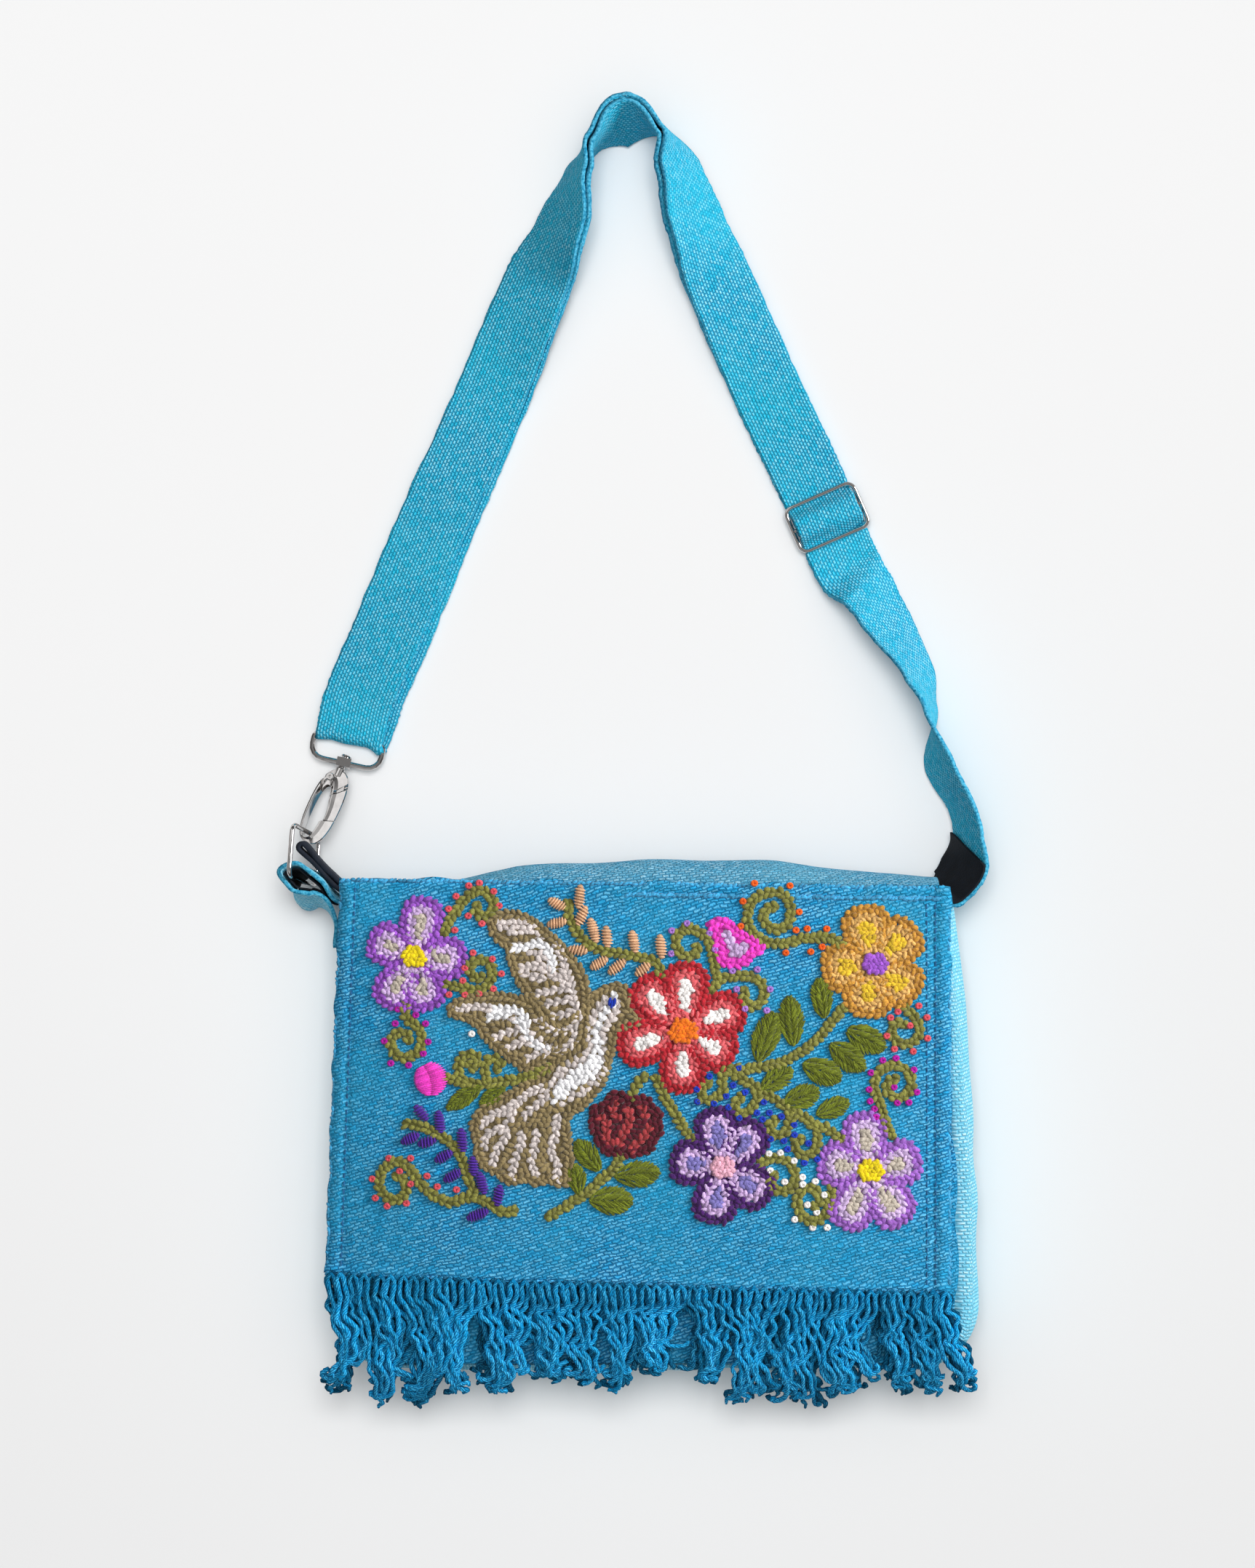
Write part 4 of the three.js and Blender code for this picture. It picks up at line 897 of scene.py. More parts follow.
# x, y round the gate's tongue, and its thickness
GATE_ROOT = [(-4.2, -7.8), (-2.0, -7.0), (1.6, -8.4), (6.2, -14.2), (5.0, -17.6), (-3.4, -11.2),
             (-4.6, -9.6)]
TONGUE = 1.7
# y, radius along the swivel's post, and height, radius of the rivet's head
SWIVEL_POST = [(-7.6, 2.4), (-3.6, 2.4), (-3.1, 1.9), (-3.0, 1.6), (2.9, 1.6), (2.9, 2.4), (3.2, 2.7),
               (3.7, 2.6), (4.0, 2.0)]
RIVET_HEAD = [(1.2, 1.9), (2.5, 1.9), (2.8, 1.5), (2.9, 0.8)]


def hook_edge(degrees, outline):
    x_middle, y_middle, half_width, half_height = outline
    angle = math.radians(degrees)
    x, y = (math.copysign(abs(f(angle)) ** (2 / HOOK_SQUARENESS), f(angle))
            for f in (math.cos, math.sin))
    return np.array([x_middle + half_width * x, y_middle + half_height * y])


def hook_limb(start, stop, steps, thin=0.0, grooved=False):
    """The casting between two angles round the hook, closed at both ends. A grooved one has a slot in
    its inner wall above the eye, where the gate's tongue goes in."""
    made = bmesh.new()
    rings = []
    for degrees in np.linspace(start, stop, steps):
        turned = (degrees + 180) % 360 - 180
        near_seam = smooth((25 - turned) / 30)
        slant = SEAM_SLANT * near_seam * smooth((turned + 75) / 45)
        inner, outer = hook_edge(degrees + slant, HOOK_EYE), hook_edge(degrees, HOOK_OUTER)
        inner = lerp(inner, outer, thin * near_seam)
        rightward = smooth(0.5 + 0.75 * math.cos(math.radians(degrees)))
        ring = []
        for left, right in zip(LEFT_LIMB, RIGHT_LIMB):
            u, z = lerp(left[0], right[0], rightward), lerp(left[1], right[1], rightward)
            for at, half, kept in NOTCHES:
                if z > 0 and u >= kept:
                    z *= 1 - 0.7 * math.exp(-((degrees - at) / half) ** 4)
            ring.append((u, z))
        groove = smooth((GROOVE_END - turned) / 4) if grooved and turned > 0 else 0.0
        (_, first), (_, last) = ring[0], ring[-1]
        ring[:2] = [(u, lerp(z, max(z, GROOVE_HALF), groove)) for u, z in ring[:2]]
        ring += [(GROOVE_DEPTH * groove, lerp(lerp(last, first, share), end, groove))
                 for share, end in ((0.33, -GROOVE_HALF), (0.67, GROOVE_HALF))]
        rings.append([made.verts.new((*lerp(inner, outer, u), z)) for u, z in ring])
    return bridged(made, rings)


def turned_rod(rings, steps=24):
    """A round rod along the hook's Y axis through rings of (y, radius)."""
    made = bmesh.new()
    turns = np.linspace(2 * math.pi, 0, steps, endpoint=False)
    return bridged(made, [[made.verts.new((radius * math.cos(turn), y, radius * math.sin(turn)))
                           for turn in turns] for y, radius in rings])


def snap_hook():
    low, high = GATE_SPAN
    body = hook_limb(high + GATE_SEAM, low + 360 - GATE_SEAM, 150, grooved=True)
    upright = Matrix.Translation((*PIVOT, 0)) @ Matrix.Rotation(math.pi / 2, 4, "X")
    head = placed(turned_rod(RIVET_HEAD), upright)
    return placed(joined([body, turned_rod(SWIVEL_POST), head]), HOOK_PLACE)


def hook_gate():
    root = bmesh.new()
    bridged(root, [[root.verts.new((x, y, z)) for x, y in GATE_ROOT] for z in (-TONGUE / 2, TONGUE / 2)])
    made = joined([hook_limb(*GATE_SPAN, 40, GATE_THIN), root])
    bmesh.ops.recalc_face_normals(made, faces=made.faces)
    return placed(made, HOOK_PLACE)


# Fringe

# x, y of the tip of each lock
LOCKS = [(-148, -136), (-126, -141), (-108, -140), (-91, -134), (-70, -135), (-46, -126), (-27, -131),
         (-13, -133), (4, -126), (30, -128), (44, -141), (57, -136), (69, -140), (80, -142), (97, -138),
         (122, -134), (137, -134), (158, -133)]
DROOP_START_Y, DROOP, DROOP_SPAN = -110.0, 15.0, 27.0
YARN_SIDES = 7
LEG_POINTS = 36
# loops, lift over the bag, tone, which is lower for layers further down as painted shade under the
# ones above, and how far a leg may end short, for each layer from the top one down
FRINGE_LAYERS = [(52, 5.6, 1.25, 9), (58, 3.5, 0.74, 13), (60, 1.6, 0.38, 13)]
STRAY_SHARE, STRAY_REACH, STRAY_UNTIL = 0.25, 15.0, 0.93
# ranges for single yarns
GATHER, LOCK_BEND, BEND = (0.68, 1.0), (-8, 8), (-1.5, 1.5)
CRIMP_WIDTH, CRIMP_TURNS, CRIMP_PHASE = (1.4, 3.0), (1.9, 3.0), (-0.8, 0.8)
KINK_WIDTH, KINK_TURNS, CURL_RADIUS = (0.4, 1.15), (4, 6.5), (1.2, 2.8)
YARN_RADIUS, YARN_TONE = (1.05, 1.45), (0.74, 1.28)


def tube_mesh(name, paths, radii, tones_and_shade):
    """Yarns along paths of equally many points, joined in one mesh with a UV map in millimetres
    and a tone for each point, which holds painted shade as well as the yarn's own tone."""
    count, steps = paths.shape[:2]
    run = np.gradient(paths, axis=1)
    run /= np.linalg.norm(run, axis=2, keepdims=True)
    side = np.cross(run, UP)
    side /= np.maximum(np.linalg.norm(side, axis=2, keepdims=True), 1e-6)
    over = np.cross(side, run)
    turn = np.arange(YARN_SIDES) / YARN_SIDES * 2 * math.pi
    ring = (side[:, :, None] * np.cos(turn)[:, None] + over[:, :, None] * np.sin(turn)[:, None])
    verts = (paths[:, :, None] + ring * radii[:, :, None, None]).reshape(-1, 3)
    length = np.concatenate([np.zeros((count, 1)),
                             np.cumsum(np.linalg.norm(np.diff(paths, axis=1), axis=2), axis=1)], axis=1)
    faces, weave = [], []
    around = [2 * math.pi * 1.5 * k / YARN_SIDES for k in range(YARN_SIDES + 1)]
    for i in range(count):
        base = i * steps * YARN_SIDES
        for j in range(steps - 1):
            low, high = length[i, j], length[i, j + 1]
            for k in range(YARN_SIDES):
                a, b = base + j * YARN_SIDES + k, base + j * YARN_SIDES + (k + 1) % YARN_SIDES
                faces.append((a, a + YARN_SIDES, b + YARN_SIDES, b))
                weave += [(around[k], low), (around[k], high), (around[k + 1], high), (around[k + 1], low)]
        end = base + (steps - 1) * YARN_SIDES
        faces.append(tuple(range(base, base + YARN_SIDES)))
        faces.append(tuple(range(end + YARN_SIDES - 1, end - 1, -1)))
        weave += [(0, 0)] * (2 * YARN_SIDES)
    mesh = bpy.data.meshes.new(name)
    mesh.from_pydata(verts.tolist(), [], faces)
    mesh.uv_layers.new(name="weave").data.foreach_set("uv", np.array(weave).ravel())
    tone = mesh.color_attributes.new("tone", "FLOAT_COLOR", "POINT")
    shades = np.repeat(tones_and_shade.ravel(), YARN_SIDES)
    tone.data.foreach_set("color", np.column_stack([shades] * 3 + [np.ones_like(shades)]).ravel())
    return mesh


def fringe():
    """Loops of crimped yarn drawn through the hem: each hangs from an arch in two legs that wave
    together, and the legs gather into locks towards their tips, which curl. Some stray across."""
    t = np.linspace(0, 1, LEG_POINTS)
    lock_x, lock_y = np.array(LOCKS, float).T
    lock_phase = chance.uniform(0, 2 * math.pi, len(LOCKS))
    lock_bend = chance.uniform(*LOCK_BEND, len(LOCKS))
    paths, radii, tones_and_shade = [], [], []
    for loops, lift, tone, shortest in FRINGE_LAYERS:
        for number in range(loops):
            across = np.clip((number + 0.5 + chance.uniform(-0.25, 0.25)) / loops, 0.004, 0.996)
            root_x, root_y = flap_point(across, 0)
            # A lock takes the loops above it; a loop between two locks goes to either.
            lean = 9.0 * smooth((across - 0.9) / 0.1)
            lock = np.argmin(np.abs(lock_x - root_x - lean - chance.uniform(-5, 5)))
            gather = chance.uniform(*GATHER)
            phase = lock_phase[lock] + chance.uniform(*CRIMP_PHASE)
            turns = chance.uniform(*CRIMP_TURNS)
            swing = chance.uniform(*CRIMP_WIDTH)
            bend = (lock_bend[lock] + chance.uniform(*BEND)) * smooth((STRAY_UNTIL - across) / 0.1)
            strays = chance.uniform() < STRAY_SHARE and across < STRAY_UNTIL
            stray = chance.uniform(-STRAY_REACH, STRAY_REACH) if strays else 0.0
            legs = []
            for way in (-1, 1):
                short = chance.uniform(-1, shortest)
                tip_x = lerp(root_x, lock_x[lock], gather) + chance.uniform(-2.2, 2.2)
                x = lerp(root_x + way * (1.7 + 0.6 * np.sin(math.pi * t)), tip_x + way * 1.2,
                         smooth(t) ** 1.3)
                x = x + bend * np.sin(math.pi * t) ** 2 + stray * smooth((t - 0.2) / 0.8)
                y = lerp(root_y - 1.2, lock_y[lock] - 4.5 + short + abs(stray) * 0.9, t)
                angle = phase + way * 0.25 + t * turns * 2 * math.pi
                crimp = swing * (np.sin(angle) + 0.25 * np.sin(3 * angle)) * smooth(t * 5) * (1 - 0.4 * t)
                # Yarn that was knitted once keeps a small kink.
                kink = chance.uniform(*KINK_WIDTH) * np.sin(t * chance.uniform(*KINK_TURNS) * 2 * math.pi
                                                            + chance.uniform(0, 2 * math.pi))
                crimp = crimp + kink * smooth(t * 4)
                curl = chance.uniform(*CURL_RADIUS) * chance.choice([-1, 1])
                turned = smooth((t - 0.78) / 0.22) * 4.2
                x = x + crimp + curl * (1 - np.cos(turned))
                y = y + 1.3 * np.cos(angle) * smooth(t * 4) + np.abs(curl) * (turned - np.sin(turned)) * 0.7
                past = np.maximum(0, DROOP_START_Y - y) / DROOP_SPAN
                rest = front_z(x, np.maximum(y, DROOP_START_Y)) - DROOP * past ** 2
                rise = lift + 0.9 * np.sin(angle + 1.5) + 1.3 * np.exp(-((t - 0.08) / 0.08) ** 2)
                rise = lerp(rise, 1.6 + lift * 0.4, smooth((t - 0.6) / 0.4))
                legs.append(np.column_stack([x, y, rest + rise]))
            top = np.array([[root_x, root_y + 1.3, max(legs[0][0, 2], legs[1][0, 2]) + 0.5]])
            paths.append(np.vstack([legs[0][::-1], top, legs[1]]))
            thick = chance.uniform(*YARN_RADIUS)
            along = np.abs(np.linspace(-1, 1, 2 * LEG_POINTS + 1))
            lumps = 1 + 0.1 * np.sin(np.arange(2 * LEG_POINTS + 1) * 1.9 + phase)
            radii.append(thick * lumps * (1 - 0.08 * along) * np.minimum(1, 0.6 + (1 - along) * 22))
            # Painted shade: yarn is darker in the lower layers and near its arch by the hem, on top of its
            # own random tone.
            tones_and_shade.append(chance.uniform(*YARN_TONE) * tone * (0.8 + 0.25 * smooth(along * 2.5)))
    return tube_mesh("fringe_yarn", np.array(paths), np.array(radii), np.array(tones_and_shade))


# Embroidery

# Wools
OLIVE, LEAF_GREEN = "#83823c", "#66701a"
VIOLET, LILAC, GREY = "#9a55c2", "#cfb0de", "#bdb2a4"
RED, CORAL, WHITE, ORANGE = "#b3222e", "#dd6268", "#f0ebe8", "#ec7517"
OCHRE, PALE_OCHRE, YELLOW = "#c08a36", "#d9ab62", "#e8cf14"
PURPLE, PERIWINKLE, ROSE = "#4a2068", "#8077ba", "#e3a9bd"
MAROON, BRICK, MAGENTA, PINK = "#5a1626", "#a53a3e", "#b0129c", "#ee40c6"
TAN, INDIGO, BLUE = "#e4b48c", "#522a9c", "#1537b0"
KHAKI, CREAM, PEARL = "#8b7a54", "#d3c8c4", "#f1f0f2"
KNOT_RED, KNOT_VIOLET, KNOT_ORANGE = "#d8505c", "#a273c6", "#e85d14"
CLOTH_THREAD, EDGE_YARN = "#175c8c", "#3d9cca"
GROUND_SHADE, GROUND_SPACING = 0.62, 2.4  # painted shade on the thread that shows deep between stitches


class Stitches:
    """Stitches gathered for one joined mesh. A row holds a lobe of thread: its place, its turn, its
    length, width and height, how far it stands off the cloth, and its colour. The ground is the
    thread that lies under the others."""

    def __init__(self):
        self.rows, self.ground = [], []

    def lobes(self, x, y, turn, length, width, height, lift, colour, mix=0.12, ground=False):
        x = np.atleast_1d(np.asarray(x, float))
        shade = np.clip(1 + mix * chance.standard_normal(len(x)), 0.6, 1.5)
        # The ground thread lies deep under the stitches and gets painted shade.
        shade = shade * (GROUND_SHADE if ground else 1)
        rows = np.column_stack([np.broadcast_to(v, x.shape) for v in
                                (x, y, turn, length, width, height, lift)]
                               + [shade * c for c in linear(colour)[:3]])
        (self.ground if ground else self.rows).append(rows)

    def chain(self, points, colour, closed=False, width=5.4, height=3.0, lift=0.8):
        """A row of chain stitch: links of two slanting, uneven lobes along a line, over a core."""
        pitch = 2.9
        line = evenly(points, pitch, closed)
        ahead = np.roll(line, -1, axis=0) - np.roll(line, 1, axis=0)
        if not closed:
            ahead[0], ahead[-1] = line[1] - line[0], line[-1] - line[-2]
        turn = np.arctan2(ahead[:, 1], ahead[:, 0])
        count = len(line)
        self.lobes(*line.T, turn, length=pitch * 1.9, width=width * 0.85, height=height * 0.75,
                   lift=lift - 0.45, colour=colour, ground=True)
        for way in (-1, 1):
            off = way * width * 0.25 + chance.uniform(-0.3, 0.3, count)
            slip = chance.uniform(-0.5, 0.5, count) + way * pitch * 0.2
            self.lobes(line[:, 0] + np.cos(turn) * slip - np.sin(turn) * off,
                       line[:, 1] + np.sin(turn) * slip + np.cos(turn) * off,
                       turn - way * 0.6 + chance.uniform(-0.35, 0.35, count),
                       length=pitch * chance.uniform(1.1, 1.6, count),
                       width=width * chance.uniform(0.42, 0.6, count),
                       height=height * chance.uniform(0.85, 1.15, count),
                       lift=lift + chance.uniform(-0.25, 0.3, count), colour=colour)

    def knot(self, x, y, colour, size=4.2):
        """A French knot: thread wound in a small ring round a dimple."""
        turn = np.arange(5) / 5 * 2 * math.pi + chance.uniform(0, 1)
        self.lobes(x, y, turn=0, length=size * 0.7, width=size * 0.7, height=size * 0.5, lift=0.7,
                   colour=colour, ground=True)
        self.lobes(x + np.cos(turn) * size * 0.23, y + np.sin(turn) * size * 0.2, turn + math.pi / 2,
                   length=size * 0.62, width=size * 0.42, height=size * 0.66, lift=1.1, colour=colour,
                   mix=0.1)

    def bullion(self, x, y, turn, length, colour, width=6.0):
        """A bullion knot: thread wound many times round a short bar with blunt ends."""
        pitch = 1.4
        count = int(round(length / pitch))
        t = np.linspace(-1, 1, count)
        full = width * (1 - 0.42 * np.abs(t) ** 5) * chance.uniform(0.95, 1.05, count)
        along = t * (length - pitch) / 2
        at = x + math.cos(turn) * along, y + math.sin(turn) * along
        self.lobes(*at, turn, length=2.2, width=full * 0.8, height=full * 0.6, lift=1.2, colour=colour,
                   ground=True)
        self.lobes(*at, turn + math.pi / 2 - 0.15, length=full, width=1.12, height=full * 0.78, lift=1.4,
                   colour=colour, mix=0.09)

    def leaf(self, root, tip, width, colour):
        """A fishbone leaf: long threads that slant from the middle rib to both edges."""
        root, tip = np.array(root), np.array(tip)
        axis = tip - root
        length = np.linalg.norm(axis)
        turn = math.atan2(axis[1], axis[0])
        across = np.array([-axis[1], axis[0]]) / length
        count = int(length / 0.55)  # threads lie closer than they are wide
        for way in (-1, 1):
            t = np.linspace(0.02, 0.97, count) + chance.uniform(-0.015, 0.015, count)
            half = width * 0.55 * np.sin(math.pi * np.clip(t, 0, 1) ** 0.85) ** 0.62
            for share, lift in ((0.22, 1.35), (0.64, 0.85)):
                reach = half * share * chance.uniform(0.9, 1.2, count)
                at = root + axis * t[:, None] + across * (way * reach)[:, None]
                self.lobes(*at.T, turn + way * (0.42 + 0.25 * share) + chance.uniform(-0.2, 0.2, count),
                           length=np.maximum(2.4, half * 1.05), width=1.15, height=1.9,
                           lift=lift + chance.uniform(-0.2, 0.2, count), colour=colour, mix=0.26)

    def fill(self, outline, colour, spacing=2.75, clear=2.0, lift=0.8, size=3.9):
        """Knotted stitches wherever an outline is still bare of thread, over a ground darkened with painted
        shade.
        """
        under = inside(outline, GROUND_SPACING)
        if len(under):
            self.lobes(*under.T, turn=0, length=3.6, width=3.4, height=1.4, lift=0.2, colour=colour,
                       ground=True)
        grid = inside(outline, spacing)
        if self.rows and len(grid):
            sewn = np.vstack(self.rows)[:, :2]
            near = np.min(np.linalg.norm(grid[:, None] - sewn[None], axis=2), axis=1)
            grid = grid[near > clear]
        if len(grid):
            count = len(grid)
            grid = grid + chance.uniform(-0.35, 0.35, grid.shape)
            self.lobes(*grid.T, turn=chance.uniform(0, math.pi, count),
                       length=size * chance.uniform(0.9, 1.2, count),
                       width=size * chance.uniform(0.68, 0.85, count), height=2.6,
                       lift=lift + chance.uniform(-0.25, 0.3, count), colour=colour)

    def take(self, other):
        self.rows += other.rows
        self.ground += other.ground

    def mesh(self, name):
        """The joined mesh: each lobe is one small rounded spindle, set on the flap."""
        lobe = bmesh.new()
        bmesh.ops.create_uvsphere(lobe, u_segments=6, v_segments=4, radius=0.5)
        placed(lobe, Matrix.Rotation(math.pi / 2, 4, "Y"))
        lobe.verts.index_update()
        shape = np.array([vert.co for vert in lobe.verts])
        pattern = [[vert.index for vert in face.verts] for face in lobe.faces]
        lobe.free()
        rows = np.vstack(self.ground + self.rows)
        x, y, turn, length, width, height, lift = rows[:, :7].T
        along = shape[:, 0] * length[:, None]
        beside = shape[:, 1] * width[:, None]
        cos, sin = np.cos(turn)[:, None], np.sin(turn)[:, None]
        verts = np.stack([x[:, None] + along * cos - beside * sin, y[:, None] + along * sin + beside * cos,
                          (flap_top(x, y) + lift)[:, None] + shape[:, 2] * height[:, None]], axis=2)
        size = len(shape)
        faces = [[i * size + v for v in face] for i in range(len(rows)) for face in pattern]
        mesh = bpy.data.meshes.new(name)
        mesh.from_pydata(verts.reshape(-1, 3).tolist(), [], faces)
        dyed = mesh.color_attributes.new("thread", "FLOAT_COLOR", "POINT")
        colours = np.column_stack([np.repeat(rows[:, 7:10], size, axis=0), np.ones(len(rows) * size)])
        dyed.data.foreach_set("color", colours.ravel())
        return mesh


def inside(outline, spacing):
    """Points of an even grid inside an outline."""
    outline = np.asarray(outline, float)
    low, high = outline.min(axis=0), outline.max(axis=0)
    grid = np.array([(x + (i % 2) * spacing / 2, y)
                     for i, y in enumerate(np.arange(low[1], high[1], spacing * 0.87))
                     for x in np.arange(low[0], high[0], spacing)])
    within = np.zeros(len(grid), bool)
    for (ax, ay), (bx, by) in zip(outline, np.roll(outline, -1, axis=0)):
        crosses = (ay > grid[:, 1]) != (by > grid[:, 1])
        reach = ax + (grid[:, 1] - ay) / (by - ay if by != ay else 1e-9) * (bx - ax)
        within ^= crosses & (grid[:, 0] < reach)
    return grid[within]


def evenly(points, pitch, closed):
    """A smooth line through points, with a point at every pitch."""
    points = [(*point, 0.0) for point in points]
    if closed:
        points = points[-2:] + points + points[:3]
    line = curve_through(points)
    first, last = (2, len(points) - 3) if closed else (0, len(points) - 1)
    dense = np.array([line(row)[:2] for row in np.linspace(first, last, 12 * (last - first) + 1)])
    length = lengths_along(dense)
    count = max(2, int(round(length[-1] / pitch)))
    at = np.linspace(0, length[-1], count, endpoint=not closed)
    return np.column_stack([np.interp(at, length, dense[:, 0]), np.interp(at, length, dense[:, 1])])


# x, y, petals as (angle, length), half width, rows of colours from the edge in, centre, its radius
FLOWERS = [
    (-110.9, 78.5, [(78, 29), (154, 23), (-2, 25.5), (241, 27.5), (287, 26.5)], 9.8,
     (VIOLET, LILAC, GREY), YELLOW, 5.4),
    (18.4, 43.2, [(86, 33), (131, 32.5), (196, 32), (270, 29.5), (-27, 28), (22, 31.5)], 10.6,
     (RED, CORAL, WHITE), ORANGE, 6.6),
    (110.5, 75.0, [(101, 28.5), (42, 27), (-37, 25.5), (259, 25.5), (186, 25)], 11.3,
     (OCHRE, PALE_OCHRE, "#d8b32c"), VIOLET, 5.8),
    (37.5, -21.9, [(98, 29), (50, 27.5), (-33, 27), (258, 27), (171, 25)], 10.4,
     (PURPLE, LILAC, PERIWINKLE), ROSE, 5.6),
    (108.1, -23.8, [(97, 28.5), (15, 25), (167, 25), (244, 30), (303, 30)], 10.4,
     ("#a066c4", "#d0b5de", GREY), YELLOW, 5.8),
]
BASE_RADIUS = 14.0  # of the ground between a flower's petals


def petal(x, y, angle, length, half, inset, opening):
    """Points round a petal with a broad blunt end, at some distance in from its edge. It is open
    towards the flower's middle by some angle to both sides."""
    start, stop = length * 0.18 + inset * 0.3, length - inset
    t = np.linspace(opening - math.pi, math.pi - opening, 22)
    blunt_cos, blunt_sin = (np.sign(f(t)) * np.abs(f(t)) ** 0.82 for f in (np.cos, np.sin))
    along = (start + stop) / 2 + (stop - start) / 2 * blunt_cos
    beside = (half - inset) * blunt_sin * (1 + 0.24 * np.cos(t))
    c, s = math.cos(angle), math.sin(angle)
    return np.column_stack([x + along * c - beside * s, y + along * s + beside * c])


def flowers():
    sewn = Stitches()
    around = np.linspace(0, 2 * math.pi, 24, endpoint=False)
    for x, y, petals, half, (outer, light, inner), centre, radius in FLOWERS:
        flower = Stitches()
        for degrees, length in petals:
            angle = math.radians(degrees)
            flower.chain(petal(x, y, angle, length, half, inset=1.9, opening=0.75), outer)
            flower.chain(petal(x, y, angle, length, half, inset=5.5, opening=0.3), light, width=4.5,
                         lift=1.0)
            flower.fill(petal(x, y, angle, length, half, inset=6.6, opening=0.1), inner, spacing=2.3,
                        clear=1.5, lift=1.3)
        base = np.column_stack([x + BASE_RADIUS * np.cos(around), y + BASE_RADIUS * np.sin(around)])
        flower.fill(base, outer)
        middle = Stitches()
        disc = np.column_stack([x + radius * np.cos(around), y + radius * 0.9 * np.sin(around)])
        middle.fill(disc, centre, spacing=2.1, lift=2.2)
        sewn.take(flower)
        sewn.take(middle)
    return sewn


